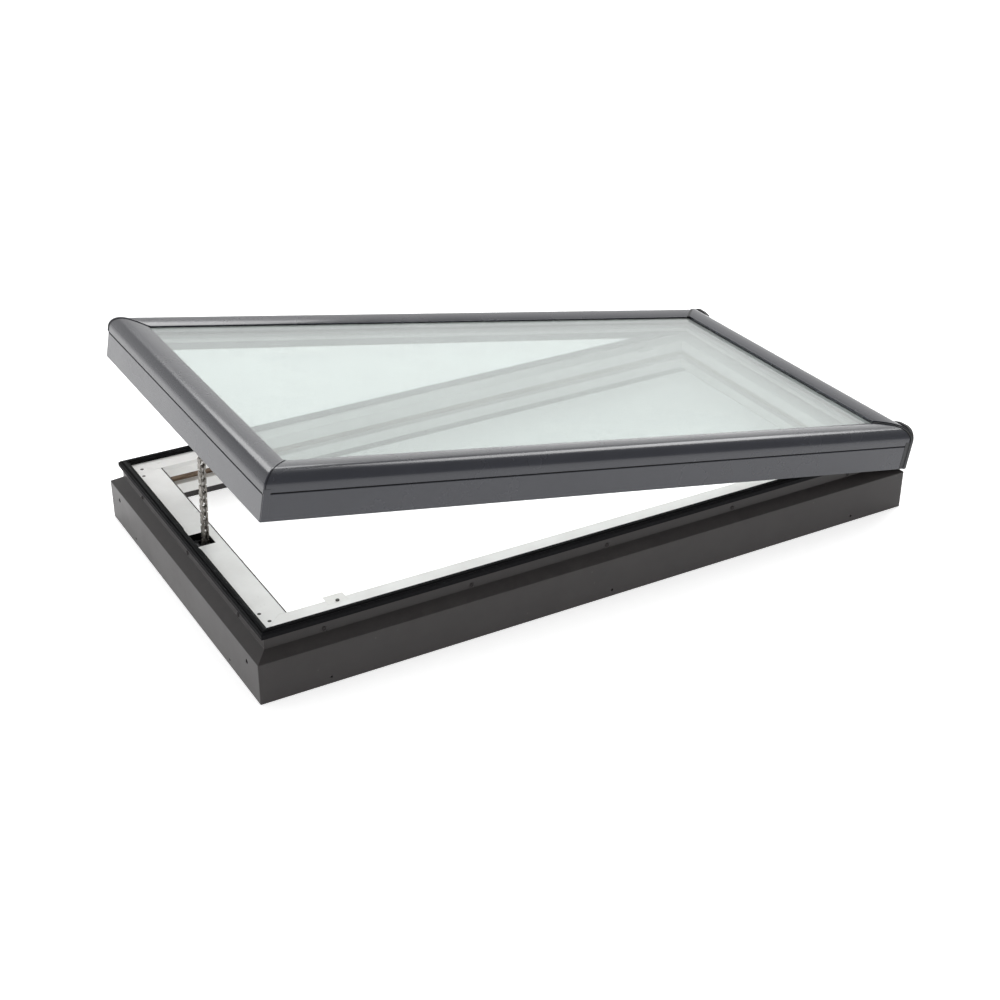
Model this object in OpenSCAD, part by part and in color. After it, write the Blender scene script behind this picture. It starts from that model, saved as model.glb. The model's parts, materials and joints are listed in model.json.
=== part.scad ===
// Curb-mounted venting skylight: a clad timber frame, a glazed sash hinged along one short
// side, and a chain opener hidden in the frame rail on the opposite short side.
// X runs from the opening side to the hinge side, Z is up, and the origin is the centre of
// the seat on the roof curb. Sections are drawn as [depth from the outer face, height].
// The sash is drawn shut, then swung about its hinge axis by open_angle.

/* [Overall] */
// Outside length of the frame, along X
frame_l = 1305; // [1000:1:1700]
// Outside width of the frame, along Y
frame_w = 695; // [600:1:1200]
// Angle at which the sash stands open
open_angle = 10.6; // [0:0.1:12]

/* [Frame cladding] */
// Thickness of the folded sheet
clad_t = 1.2; // [0.8:0.1:1.6]
// How far the skirt hangs below the curb seat
skirt_drop = 47; // [30:1:70]
// Height of the skirt's top fold above the curb seat
skirt_top = 26; // [20:1:30]
// Horizontal run of the sloped shoulder
slope_run = 20; // [18:0.5:26]
// Rise of the sloped shoulder
slope_rise = 13; // [8:0.5:15]
// Rounding of the skirt's upright corners
skirt_corner_r = 2.5; // [1:0.1:2.5]
// Diameter of the fixing holes along the foot of the skirt
fix_hole_d = 4.5; // [4:0.1:6]
// Height of the fixing holes above the foot of the skirt
fix_hole_up = 12; // [8:1:20]
// Distance between fixing holes on the long sides
fix_pitch_long = 530; // [300:1:530]
// Distance between fixing holes on the short sides
fix_pitch_short = 446; // [250:1:500]
// Diameter of the lifting holes on the short sides
lift_hole_d = 8; // [6:0.5:10]
// Distance between the lifting holes
lift_pitch = 600; // [300:1:640]
// Height of the lifting holes above the curb seat
lift_up = 7; // [0:1:15]

/* [Frame timber] */
// Height of the timber rails
timber_h = 63; // [63:1:75]
// Depth of the plain rails, from the outer face of the skirt
rail_d = 66; // [62:1:80]
// Depth of the rail that holds the opener
opener_rail_d = 78; // [78:1:90]
// Height of the lip along the inner top edge
lip_h = 10; // [6:1:12]
// Depth of the groove for the lining boards
groove_d = 12; // [8:1:14]
// Height of the groove for the lining boards
groove_h = 18; // [12:1:20]
// Height of the groove's lower edge above the seat
groove_up = 20; // [16:1:22]
// Width of the foam seal under the rails
curb_seal_w = 12; // [8:1:16]
// Thickness of the foam seal under the rails
curb_seal_t = 3; // [2:0.5:5]

/* [Sash] */
// Height of the sash skirt's foot above the frame skirt's top, when shut
sash_foot_up = 9; // [7:1:14]
// Height of the joint between sash skirt and rounded cladding above the sash timber's underside
seam_up = 7.2; // [5.2:0.1:11]
// Thickness of the black seal in that joint
seam_t = 1.6; // [1:0.1:3]
// Thickness of the sash cladding
sash_clad_t = 1.6; // [1.2:0.1:2]
// Rounding of the sash's upright corners
sash_corner_r = 3; // [1:0.1:3]
// Height of the flat band above the seam
band_h = 11.4; // [9:0.1:14]
// Step in from the band to the rounded nose
band_step = 3.5; // [2:0.1:4]
// Depth at which the rounded nose is highest
crest_d = 24; // [20:0.5:30]
// Rise of the nose above the band
crest_rise = 20; // [18:0.5:24]
// Depth at which the nose ends on the glass
nose_end_d = 53; // [48:0.5:58]
// Fall of the nose from its crest to the glass
nose_fall = 4.5; // [3:0.1:4.5]
// Thickness of the black seal at each mitred corner
corner_seal_t = 2.5; // [1.5:0.1:4]
// How far the corner seals stand proud of the nose
corner_seal_proud = 0.6; // [0.3:0.1:1]
// Depth of the sash timber's outer face
sash_timber_d = 9; // [8:0.5:10]
// Width of the sash timber's upstand beside the glass
sash_upstand_w = 19; // [14:0.5:20]
// Height of the sash timber's upstand
sash_upstand_h = 29; // [24:0.5:29]
// Thickness of the ledge under the glass
sash_ledge_t = 7.9; // [7.5:0.1:9]

/* [Glazing] */
// Gap between the glass edge and the timber
edge_gap = 2; // [1:0.1:4]
// Thickness of the outer pane
outer_pane_t = 4; // [3:0.1:4]
// Gap between the panes
pane_gap = 12; // [9:0.5:12]
// Thickness of the laminated inner pane
inner_pane_t = 6.8; // [6:0.1:7]
// Width of the spacer bar
spacer_w = 7; // [5:0.5:9]
// Width of the sealant outside the spacer bar
edge_seal_w = 6; // [4:0.5:8]
// Thickness of the tape under the glass
tape_t = 2; // [1:0.1:3]
// Width of the tape under the glass
tape_w = 14; // [8:0.5:20]

/* [Seal between frame and sash] */
// Depth of the seal's outer edge
gasket_out_d = 14.5; // [14:0.1:15]
// Depth of the seal's inner edge
gasket_in_d = 31; // [30:0.1:31]
// Radius of the seal's hollow bulb
bulb_r = 4.5; // [4:0.1:4.6]
// Wall of the hollow bulb
bulb_wall = 1.6; // [1:0.1:2]
// Depth of the bulb's centre
bulb_d = 24.2; // [24:0.1:25.5]

/* [Hinges] */
// Depth of the hinge axis from the outer face
hinge_d = 11.5; // [11.5:0.1:12]
// Depth of the hinge axis below the frame timber's top
hinge_down = 13; // [12:0.5:14]
// Distance between the two hinges
hinge_pitch = 300; // [200:1:400]
// Length of each hinge
hinge_l = 60; // [48:1:80]
// Radius of the hinge pin
hinge_pin_r = 2; // [1.5:0.1:2]
// Radius of the hinge barrel
barrel_r = 4; // [3.5:0.1:4]
// Thickness of the hinge leaves
leaf_t = 2.5; // [2:0.1:2.5]

/* [Opener] */
// Pitch of the chain
chain_pitch = 12.7; // [12.7:0.1:12.7]
// Depth of the chain where it leaves the sprocket
chain_d = 52.5; // [50:0.5:53]
// Height of the sprocket's centre above the curb seat
sprocket_z = 32; // [32:0.5:33]
// Number of teeth on the sprocket
sprocket_teeth = 6; // [6:1:6]
// Links still stored behind the sprocket
tail_links = 6; // [4:1:12]
// Depth of the chain's end pin when the sash is shut
lug_d = 39.2; // [38:0.1:42]
// Drop of the chain's end pin below the sash timber
lug_drop = 15.8; // [14:0.1:16]
// Play round the end pin, which lets the sash tilt on the chain
lug_play = 0.5; // [0.4:0.1:1]
// Timber left at each end of the opener's pocket, beyond the long rails
pocket_inset = 19.5; // [19.5:0.5:41]
// Diameter of the hole that lets the cable out of the pocket
cable_hole_d = 10; // [6:1:12]
// Outside depth of the chain hatch, along X
hatch_d = 32; // [30:1:34]
// Outside width of the chain hatch, along Y
hatch_w = 44; // [36:1:60]

/* [Fasteners and clearances] */
// Radius of every pan head on the frame cladding
clad_head_r = 4; // [3:0.1:5]
// Height of every pan head on the frame cladding
clad_head_h = 2.4; // [1.5:0.1:3]
// Distance between cladding screws on the long sides
screw_pitch_long = 265; // [150:1:265]
// Distance between cladding screws on the short sides
screw_pitch_short = 223; // [120:1:223]
// Height of the cladding screws above the foot of the upright wall
clad_screw_up = 5.5; // [5:0.5:11]
// Radius of every wood screw's shank
shank_r = 1.9; // [1.5:0.1:2]
// Length of every frame screw under its head
shank_l = 12.5; // [10:0.5:12.5]
// Radius of the wood dowels in the mitred corners
dowel_r = 4; // [3:0.5:4]
// Length of the wood dowels
dowel_l = 40; // [30:1:40]
// Radial clearance of pins, shafts and screws in their holes
fit = 0.05; // [0.02:0.01:0.08]
// Clearance between the shut sash and the seal
seal_clear = 0.3; // [0.2:0.1:0.6]
// Side clearance between moving faces
side_clear = 0.3; // [0.2:0.1:0.5]

/* [Hidden] */
$fn = 48;

// The four sides, counted anticlockwise from above.
NEAR = 0;
HINGE = 1;
FAR = 2;
OPENING = 3;
SIDES = [NEAR, HINGE, FAR, OPENING];

// Length along a side, and the distance between that side and its opposite.
function run(side) = side % 2 == 0 ? frame_l : frame_w;
function reach(side) = side % 2 == 0 ? frame_w : frame_l;
function screw_pitch(side) = side % 2 == 0 ? screw_pitch_long : screw_pitch_short;
function screw_steps(side) = side % 2 == 0 ? [-2:2] : [-1:1];
function fix_places(side) = side % 2 == 0
    ? [-fix_pitch_long, 0, fix_pitch_long]
    : [-fix_pitch_short / 2, fix_pitch_short / 2];

// Frame cladding and timber
eps = 1;
slope_k = slope_rise / slope_run;
wall_foot = skirt_top + slope_rise;
wall_top = timber_h - 1;
clad_screw_z = wall_foot + clad_screw_up;
timber_d = slope_run + clad_t;
lip_bevel = 3;
band_d = rail_d - lip_bevel;
sill_d = rail_d - 1.5;
curb_seal_d = 30;
function slope_under(d) = skirt_top + slope_k * d - clad_t * sqrt(1 + slope_k * slope_k);

// Seal between frame and sash
gasket_foot = wall_top - 2.5;
gasket_flange = timber_h + 5.5;
gasket_top = timber_h + 9.5;
hatch_relief = 2;

// Sash heights, all as if shut
sash_under = gasket_top + seal_clear;
sash_foot = skirt_top + sash_foot_up;
seam_z = sash_under + seam_up;
ledge_z = sash_under + sash_ledge_t;
glass_z = ledge_z + tape_t;
gap_z = glass_z + inner_pane_t;
outer_z = gap_z + pane_gap;
glass_top = outer_z + outer_pane_t;
upstand_d = sash_timber_d + sash_upstand_w;
glass_d = upstand_d + edge_gap;
nose_foot = seam_z + seam_t;
band_top = nose_foot + band_h;
crest_z = band_top + crest_rise;
fall_run = nose_end_d - crest_d;
fall_r = (fall_run * fall_run + nose_fall * nose_fall) / (2 * nose_fall);
NOSE_STEPS = 12;

// Hinges
hinge_x = frame_l / 2 - hinge_d;
hinge_z = timber_h - hinge_down;
centre_knuckle_l = hinge_l / 2 - 2 * side_clear;
leaf_foot = wall_foot + 2;
leaf_top = wall_top - 4;
web_t = 4;
sash_flange_d = gasket_out_d - 1;

// Opener pocket, case and hatch
pocket_d = 33;
pocket_z = 8;
pocket_l = frame_w - 2 * (rail_d + pocket_inset);
pocket_top = timber_h - 6;
case_t = 2;
case_in_d = 74;
case_top = pocket_z + 42;
case_y0 = -205;
case_y1 = pocket_l / 2 - 4;
opener_screw_y = [-180, -40, 110, case_y1 - 18];
cap_t = 3;
cable_hole_at = [opener_rail_d - 8, -235];
cover_t = 2;
cover_top = timber_h - 3;
hatch_in = 32;
liner_t = 1;

// Chain: the run leans from the sprocket to the pin on the open sash.
plate_t = 1.5;
inner_half = 2;
outer_half = 3.7;
pin_r = 1.7;
pin_half = 5.7;
bush_r = 3;
plate_r = 5.2;
back_out = 6.5;
pitch_r = chain_pitch / 2 / sin(180 / sprocket_teeth);
chain_x = -frame_l / 2 + chain_d;
lug_z = sash_under - lug_drop;
lug_rel = [-frame_l / 2 + lug_d - hinge_x, lug_z - hinge_z];
lug_open = [hinge_x + lug_rel.x * cos(open_angle) + lug_rel.y * sin(open_angle),
    hinge_z - lug_rel.x * sin(open_angle) + lug_rel.y * cos(open_angle)];
run_x = lug_open.x - chain_x;
run_z = lug_open.y - sprocket_z;
run_l = norm([run_x, run_z]);
run_lean = atan2(run_x, run_z);
run_links = round(run_l / chain_pitch);
run_step = run_l / run_links;
// The first pin leans with the run, so the plates and the sprocket beside it have more room.
pin_play = fit + (outer_half + plate_t) * sin(abs(run_lean));
// Pins behind the sprocket, as [y, z] seen along the sprocket's shaft.
wrap = 360 / sprocket_teeth;
wrap_pin = [pitch_r - pitch_r * cos(wrap), sprocket_z - pitch_r * sin(wrap)];
tail_z = sprocket_z - pitch_r;
tail_y = wrap_pin.x + sqrt(chain_pitch * chain_pitch - pow(wrap_pin.y - tail_z, 2));
function stored_pin(i) = i == 0 ? [0, sprocket_z]
    : i == 1 ? wrap_pin
    : [tail_y + (i - 2) * chain_pitch, tail_z];
function stored_turn(i) = let (h = stored_pin(i - 1) - stored_pin(i)) atan2(-h.x, h.y);
function is_outer(i) = abs(run_links - 1 - i) % 2 == 0;

// Motor and gears
motor_r = 15.5;
motor_l = 88;
motor_d = 56;
motor_z = 29;
gear_y0 = -62;
gear_y1 = 32;
gear_wide_y = -22;
gear_d = 60;
gear_out_d = 73;
shaft_r = 4;
hub_r = 6.8;
guide_d = 40;
bearing_out_d = 46;

// Wood screws
wood_head_r = 3.2;
wood_head_h = 1.6;
sash_head_r = 2.4;
sash_head_h = 1.8;
sash_shank_r = 1.5;
sash_shank_l = 9;

STEEL = "#8d9094";
GREY = "#55565a";
WHITE = "#dcddd9";
BLACK = "#17181a";

// ---------- placing ----------

// Puts x along a side, y inwards from its outer face.
module on_side(side) {
    rotate([0, 0, 90 * side]) translate([0, -reach(side) / 2, 0]) children();
}

// Runs a section along a side and mitres its ends. Beyond square_from the ends are square.
module rail(side, depth, square_from = 1000, cut_back = 0, corner_r = 0) {
    m = min(depth, square_from);
    half = run(side) / 2 - cut_back * sqrt(2);
    over = 4;
    right = concat([[half + over, -over], [half - m, m]], m < depth ? [[half - m, depth]] : []);
    left = [for (i = [len(right) - 1:-1:0]) [-right[i].x, right[i].y]];
    on_side(side) intersection() {
        translate([-run(side) / 2 - over, 0, 0])
            rotate([90, 0, 90]) linear_extrude(run(side) + 2 * over) children();
        translate([0, 0, -skirt_drop - over])
            linear_extrude(crest_z + skirt_drop + 2 * over) polygon(concat(right, left));
        if (corner_r > 0)
            translate([0, reach(side) / 2, -skirt_drop - over])
                linear_extrude(crest_z + skirt_drop + 2 * over)
                    rounded_rect(run(side), reach(side), corner_r);
    }
}

module rounded_rect(l, w, r) {
    square([l - 2 * r, w], center = true);
    square([l, w - 2 * r], center = true);
    for (x = [-1, 1], y = [-1, 1])
        translate([x * (l / 2 - r), y * (w / 2 - r)]) circle(r);
}

// A flat rectangular ring between two depths.
module ring(d0, d1, z0, z1) {
    translate([0, 0, z0]) linear_extrude(z1 - z0) difference() {
        square([frame_l - 2 * d0, frame_w - 2 * d0], center = true);
        square([frame_l - 2 * d1, frame_w - 2 * d1], center = true);
    }
}

// Swings what is drawn shut to where the open sash holds it.
module swung() {
    translate([hinge_x, 0, hinge_z]) rotate([0, open_angle, 0])
        translate([-hinge_x, 0, -hinge_z]) children();
}

// A pan-head screw: the head stands on z = 0 and the shank goes down.
module pan_screw(head_r, head_h, r, l) {
    cylinder(h = head_h, r = head_r);
    translate([0, 0, -l]) cylinder(h = l + head_h / 2, r = r);
}

module hole(r, l) {
    translate([0, 0, -l]) cylinder(h = l + eps, r = r);
}

// On a side, faces outwards at depth d.
module facing_out(x, d, z) {
    translate([x, d, z]) rotate([90, 0, 0]) children();
}

module facing_in(x, d, z) {
    translate([x, d, z]) rotate([-90, 0, 0]) children();
}

module clad_screw_places(side) {
    for (i = screw_steps(side))
        facing_out(i * screw_pitch(side), slope_run, clad_screw_z) children();
}

module hinge_places() {
    for (s = [-1, 1]) translate([s * hinge_pitch / 2, 0, 0]) children();
}

module hinge_frame_screw_places() {
    hinge_places() for (s = [-1, 1])
        facing_out(s * (hinge_l / 2 - 6), slope_run - leaf_t, hinge_z) children();
}

module opener_screw_places() {
    for (y = opener_screw_y)
        facing_in(-y, pocket_d + case_t, case_top - 9) children();
}

module cover_screw_places() {
    for (s = [-1, 1], z = [16, 46])
        facing_in(s * (pocket_l / 2 + 4), opener_rail_d + cover_t, z) children();
}

module corner_screw_places() {
    for (s = [-1, 1]) {
        translate([s * (frame_w / 2 - 82), 40, timber_h - wood_head_h]) children();
        translate([s * (frame_w / 2 - 55), 46, timber_h - wood_head_h]) children();
    }
}

catch_x = frame_l / 2 - 164;
catch_l = 35;
catch_t = 1.2;
catch_out_d = rail_d + 12;
catch_in_d = rail_d - 14;

module catch_places() {
    for (s = [-1, 1]) translate([s * catch_x, 0, 0]) children();
}

// ---------- frame timber ----------

module seat_notch_section() {
    translate([curb_seal_d, -eps]) square([curb_seal_w, curb_seal_t + eps]);
}

module plain_rail_section() {
    difference() {
        polygon([[timber_d, 0], [timber_d, timber_h], [rail_d, timber_h],
            [rail_d, timber_h - lip_h + 1], [band_d, timber_h - lip_h - 2],
            [band_d, groove_up + groove_h], [band_d - groove_d, groove_up + groove_h],
            [band_d - groove_d, groove_up], [sill_d, groove_up], [sill_d, 0]]);
        seat_notch_section();
    }
}

module opener_rail_section() {
    difference() {
        translate([timber_d, 0]) square([opener_rail_d - timber_d, timber_h]);
        seat_notch_section();
    }
}

// Dowels cross each mitre at right angles, above and below the lining groove.
module dowel_places(depth, heights) {
    for (x = [-1, 1], y = [-1, 1], z = heights)
        translate([x * (frame_l / 2 - depth), y * (frame_w / 2 - depth), z])
            rotate([90, 0, -x * y * 45]) children();
}

FRAME_DOWEL_D = 44;
FRAME_DOWEL_Z = [10, 50];

module frame_dowel_holes() {
    dowel_places(FRAME_DOWEL_D, FRAME_DOWEL_Z)
        cylinder(h = dowel_l + 2 * fit, r = dowel_r + fit, center = true);
}

module frame_rail(side) {
    color(WHITE) difference() {
        rail(side, rail_d) plain_rail_section();
        on_side(side) {
            clad_screw_places(side) hole(shank_r + fit, shank_l + fit);
            if (side == HINGE)
                hinge_frame_screw_places() hole(shank_r + fit, shank_l + fit);
            if (side != HINGE)
                catch_places() {
                    translate([-catch_l / 2, catch_in_d, timber_h - catch_t])
                        cube([catch_l, rail_d, catch_t + eps]);
                    translate([0, catch_in_d + 6, timber_h]) hole(shank_r + fit, shank_l + fit);
                }
        }
        frame_dowel_holes();
    }
}

module frame_rail_near() {
    frame_rail(NEAR);
}

module frame_rail_hinge() {
    frame_rail(HINGE);
}

module frame_rail_far() {
    frame_rail(FAR);
}

// The pocket opens towards the room, and the hatch opens upwards out of it.
module frame_rail_opening() {
    color(WHITE) difference() {
        rail(OPENING, opener_rail_d, rail_d) opener_rail_section();
        on_side(OPENING) {
            translate([-pocket_l / 2, pocket_d, pocket_z])
                cube([pocket_l, opener_rail_d, pocket_top - pocket_z]);
            translate([-hatch_w / 2, hatch_in, pocket_top - eps])
                cube([hatch_w, hatch_d, timber_h]);
            clad_screw_places(OPENING) hole(shank_r + fit, shank_l + fit);
            opener_screw_places() hole(shank_r + fit, shank_l + fit);
            cover_screw_places() hole(shank_r + fit, shank_l + fit);
            corner_screw_places() {
                hole(shank_r + fit, shank_l + fit);
                cylinder(h = wood_head_h + eps, r = wood_head_r + fit);
            }
        }
        in_opener() translate([cable_hole_at.x, cable_hole_at.y, pocket_z])
            hole(cable_hole_d / 2, pocket_z + eps);
        frame_dowel_holes();
    }
}

module frame_corner_dowels() {
    color("burlywood") dowel_places(FRAME_DOWEL_D, FRAME_DOWEL_Z)
        cylinder(h = dowel_l, r = dowel_r, center = true);
}

module curb_seal() {
    color("dimgray") ring(curb_seal_d, curb_seal_d + curb_seal_w, 0, curb_seal_t);
}

// ---------- frame cladding and seal ----------

// Skirt, sloped shoulder and upright wall, folded from one sheet.
module cladding_section() {
    polygon([[0, -skirt_drop], [0, skirt_top], [slope_run, wall_foot], [slope_run, wall_top],
        [timber_d, wall_top], [timber_d, slope_under(timber_d)], [clad_t, slope_under(clad_t)],
        [clad_t, -skirt_drop]]);
}

module frame_cladding(side) {
    color(GREY) difference() {
        rail(side, timber_d, corner_r = skirt_corner_r) cladding_section();
        on_side(side) {
            clad_screw_places(side) hole(shank_r + 4 * fit, clad_t + eps);
            for (x = fix_places(side))
                facing_out(x, 0, fix_hole_up - skirt_drop) hole(fix_hole_d / 2, clad_t + eps);
            if (side % 2 == 1)
                for (s = [-1, 1])
                    facing_out(s * lift_pitch / 2, 0, lift_up)
                        hole(lift_hole_d / 2, clad_t + eps);
            if (side == HINGE)
                hinge_frame_screw_places()
                    hole(shank_r + 4 * fit, leaf_t + clad_t + eps);
        }
    }
}

module frame_cladding_near() {
    frame_cladding(NEAR);
}

module frame_cladding_hinge() {
    frame_cladding(HINGE);
}

module frame_cladding_far() {
    frame_cladding(FAR);
}

module frame_cladding_opening() {
    frame_cladding(OPENING);
}

module frame_cladding_screws() {
    color(GREY) for (side = SIDES)
        on_side(side) clad_screw_places(side)
            pan_screw(clad_head_r, clad_head_h, shank_r, shank_l);
}

// A flange that hooks over the wall's top edge, with a hollow bulb on it.
module gasket_section() {
    difference() {
        union() {
            polygon([[gasket_out_d, gasket_foot], [gasket_out_d, gasket_flange - 1.5],
                [gasket_out_d + 1.5, gasket_flange], [gasket_in_d, gasket_flange],
                [gasket_in_d, timber_h], [timber_d, timber_h], [timber_d, wall_top],
                [slope_run, wall_top], [slope_run, gasket_foot]]);
            translate([bulb_d, gasket_top - bulb_r]) circle(bulb_r);
        }
        translate([bulb_d, gasket_top - bulb_r]) circle(bulb_r - bulb_wall);
    }
}

module frame_gasket() {
    color(BLACK) difference() {
        union() for (side = SIDES) rail(side, gasket_in_d) gasket_section();
        on_side(OPENING)
            translate([-hatch_w / 2 - 12, gasket_in_d - hatch_relief, timber_h - eps])
                cube([hatch_w + 24, hatch_relief + eps, gasket_top]);
    }
}

// ---------- small frame fittings ----------

// Tabs that hold an insect screen, let into the rail's top.
module screen_catches() {
    color(STEEL) for (side = [NEAR, FAR]) on_side(side) catch_places() difference() {
        translate([-catch_l / 2, catch_in_d, timber_h - catch_t])
            cube([catch_l, catch_out_d - catch_in_d, catch_t]);
        translate([0, catch_in_d + 6, timber_h]) hole(shank_r + fit, catch_t + eps);
    }
}

module frame_wood_screw() {
    pan_screw(wood_head_r, wood_head_h, shank_r, shank_l);
}

module frame_wood_screws() {
    color(STEEL) {
        for (side = [NEAR, FAR]) on_side(side) catch_places()
            translate([0, catch_in_d + 6, timber_h]) frame_wood_screw();
        on_side(HINGE) hinge_frame_screw_places() frame_wood_screw();
        on_side(OPENING) {
            opener_screw_places() frame_wood_screw();
            cover_screw_places() frame_wood_screw();
            corner_screw_places() frame_wood_screw();
        }
    }
}

// ---------- opener ----------

// In the opener's own frame, x is depth from the skirt, y runs along the rail.
module in_opener() {
    translate([-frame_l / 2, 0, 0]) children();
}

// A block given by its corners.
module block(a, b) {
    translate(a) cube(b - a);
}

module opener_case() {
    color("#3a3b3d") in_opener() difference() {
        block([pocket_d, case_y0, pocket_z], [case_in_d, case_y1, case_top]);
        block([pocket_d + case_t, case_y0 - eps, pocket_z + case_t],
            [case_in_d + eps, case_y1 + eps, case_top - case_t]);
        block([chain_d - 7.5, -hatch_w / 2 + 4, case_top - case_t - eps],
            [chain_d + 9, hatch_w / 2 - 4, case_top + eps]);
        for (y = opener_screw_y)
            translate([pocket_d + case_t, y, case_top - 9]) rotate([0, 90, 0])
                hole(shank_r + fit, case_t + eps);
    }
}

module opener_end_caps() {
    color("#303133") in_opener() {
        difference() {
            block([pocket_d + case_t, case_y0, pocket_z + case_t],
                [case_in_d, case_y0 + cap_t, case_top - case_t]);
            translate([motor_d, case_y0, motor_z]) rotate([90, 0, 0])
                cylinder(h = 3 * cap_t, r = 4 + fit, center = true);
        }
        block([pocket_d + case_t, case_y1 - cap_t, pocket_z + case_t],
            [case_in_d, case_y1, case_top - case_t]);
    }
}

module opener_lid() {
    color("#3a3b3d") in_opener()
        block([case_in_d, case_y0, pocket_z], [case_in_d + case_t, case_y1, case_top]);
}

module opener_motor() {
    color(STEEL) in_opener() translate([motor_d, gear_y0, motor_z]) rotate([90, 0, 0]) {
        cylinder(h = motor_l, r = motor_r);
        translate([0, 0, motor_l]) cylinder(h = 5, r = 6);
        for (s = [-1, 1]) translate([s * 9 - 1.5, -1, motor_l]) cube([3, 2, 7]);
    }
}

// Sealed gear case: wide where the motor bolts on, narrow beside the chain.
module opener_gearbox() {
    color("#444547") in_opener() difference() {
        union() {
            block([guide_d, gear_y0, pocket_z + case_t], [gear_out_d, gear_wide_y, case_top - 3]);
            block([gear_d, gear_wide_y - eps, pocket_z + case_t],
                [gear_out_d, gear_y1, case_top - 3]);
        }
        translate([gear_d, pitch_r, sprocket_z]) rotate([0, 90, 0])
            cylinder(h = 20, r = shaft_r + fit, center = true);
    }
}

// Bearing plate beside the sprocket, and the channel that stores the chain.
module chain_guide() {
    channel_d = [chain_d - pin_half - 2.5, chain_d + pin_half + 1.3];
    slot_d = [chain_d - pin_half - 0.6, chain_d + pin_half + 0.6];
    slot_z = [pocket_z + case_t + 1.2, tail_z + plate_r + 1.8];
    color("#2b2c2e") in_opener() difference() {
        union() {
            block([guide_d, -10, pocket_z + case_t],
                [bearing_out_d, 2 * pitch_r + 14, case_top - 4]);
            block([channel_d[0], pitch_r + 3, pocket_z + case_t],
                [channel_d[1], case_y1 - cap_t, slot_z[1] + 2]);
        }
        block([slot_d[0], pitch_r, slot_z[0]], [slot_d[1], case_y1 - cap_t + eps, slot_z[1]]);
        block([bearing_out_d - eps / 2, pitch_r, slot_z[1] - eps],
            [slot_d[1], 2 * pitch_r + 4, case_top]);
        translate([bearing_out_d, pitch_r, sprocket_z]) rotate([0, 90, 0])
            cylinder(h = 20, r = shaft_r + fit, center = true);
    }
}

module control_board() {
    color("darkgreen") in_opener() {
        block([62, -200, pocket_z + case_t], [63.6, -158, case_top - 5]);
        block([55, -195, 28], [62, -183, 40]);
        block([58, -178, 18], [62, -166, 30]);
        translate([62, -172, 38]) rotate([0, -90, 0]) cylinder(h = 9, r = 4);
    }
}

// Cable inlet in the case's end; the cable itself belongs to the building.
module cable_gland() {
    color(BLACK) in_opener() translate([motor_d, case_y0 + cap_t, motor_z])
        rotate([90, 0, 0]) difference() {
            union() {
                cylinder(h = cap_t, r = 4);
                translate([0, 0, cap_t]) cylinder(h = 5, r = 7, $fn = 6);
                translate([0, 0, cap_t + 5]) cylinder(h = 7, r = 5.5);
            }
            translate([0, 0, -eps]) cylinder(h = 20, r = 2.5);
        }
}

module hatch_liner() {
    play = 0.2;
    color(BLACK) in_opener() difference() {
        block([hatch_in + play, -hatch_w / 2 + play, case_top],
            [hatch_in + hatch_d - play, hatch_w / 2 - play, timber_h]);
        block([hatch_in + play + liner_t, -hatch_w / 2 + play + liner_t, case_top - eps],
            [hatch_in + hatch_d - play - liner_t, hatch_w / 2 - play - liner_t, timber_h + eps]);
        block([0, -hatch_w, case_top - eps], [pocket_d + play, hatch_w, pocket_top - play]);
    }
}

module opener_cover() {
    color(WHITE) on_side(OPENING) difference() {
        block([-pocket_l / 2 - 8, opener_rail_d, 4],
            [pocket_l / 2 + 8, opener_rail_d + cover_t, cover_top]);
        cover_screw_places() hole(shank_r + fit, cover_t + eps);
    }
}

module cover_seal() {
    half = frame_w / 2 - rail_d;
    color("#3c3735") on_side(OPENING)
        block([-half, opener_rail_d, cover_top], [half, opener_rail_d + 2.4, timber_h - 0.4]);
}

// ---------- chain ----------

// One plate along +Z from the pin at the origin: rounded in front, straight at the back.
module plate_section(pitch, back) {
    difference() {
        union() {
            for (u = [0, pitch]) translate([0, u]) circle(plate_r);
            translate([-back_out, pitch / 2 - back / 2]) square([back_out - 1, back]);
            translate([-plate_r, 0]) square([plate_r + plate_r - 2, pitch]);
        }
        for (u = [0, pitch]) translate([0, u]) circle(pin_r + pin_play);
    }
}

module plate(x0, pitch, back) {
    translate([x0, 0, 0]) rotate([90, 0, 90]) linear_extrude(plate_t)
        plate_section(pitch, back);
}

module outer_link(pitch) {
    for (x = [-outer_half - plate_t, outer_half]) plate(x, pitch, 2 * pitch - 0.4);
}

module inner_link(pitch) {
    for (x = [-inner_half - plate_t, inner_half]) plate(x, pitch, 2 * pitch - 0.4);
    for (u = [0, pitch]) translate([0, 0, u]) rotate([0, 90, 0]) difference() {
        cylinder(h = 2 * inner_half + 0.2, r = bush_r, center = true);
        cylinder(h = 3 * inner_half, r = pin_r + fit, center = true);
    }
}

// Puts children at pin i, with +Z towards pin i + 1. Pins below 0 lie behind the sprocket.
module at_pin(i) {
    if (i < 0)
        translate([chain_x, stored_pin(-i).x, stored_pin(-i).y])
            rotate([stored_turn(-i), 0, 0]) children();
    else
        translate([chain_x, 0, sprocket_z]) rotate([0, run_lean, 0])
            translate([0, 0, i * run_step]) children();
}

function link_l(i) = i < 0 ? chain_pitch : run_step;

module chain_inner_links() {
    color(STEEL) for (i = [-tail_links:run_links - 1])
        if (!is_outer(i)) at_pin(i) inner_link(link_l(i));
}

module chain_outer_links() {
    color(STEEL) for (i = [-tail_links:run_links - 1])
        if (is_outer(i)) at_pin(i) outer_link(link_l(i));
}

module chain_pins() {
    color(STEEL) for (i = [-tail_links:run_links]) at_pin(i)
        rotate([0, 90, 0]) cylinder(h = 2 * pin_half, r = pin_r, center = true);
}

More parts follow.
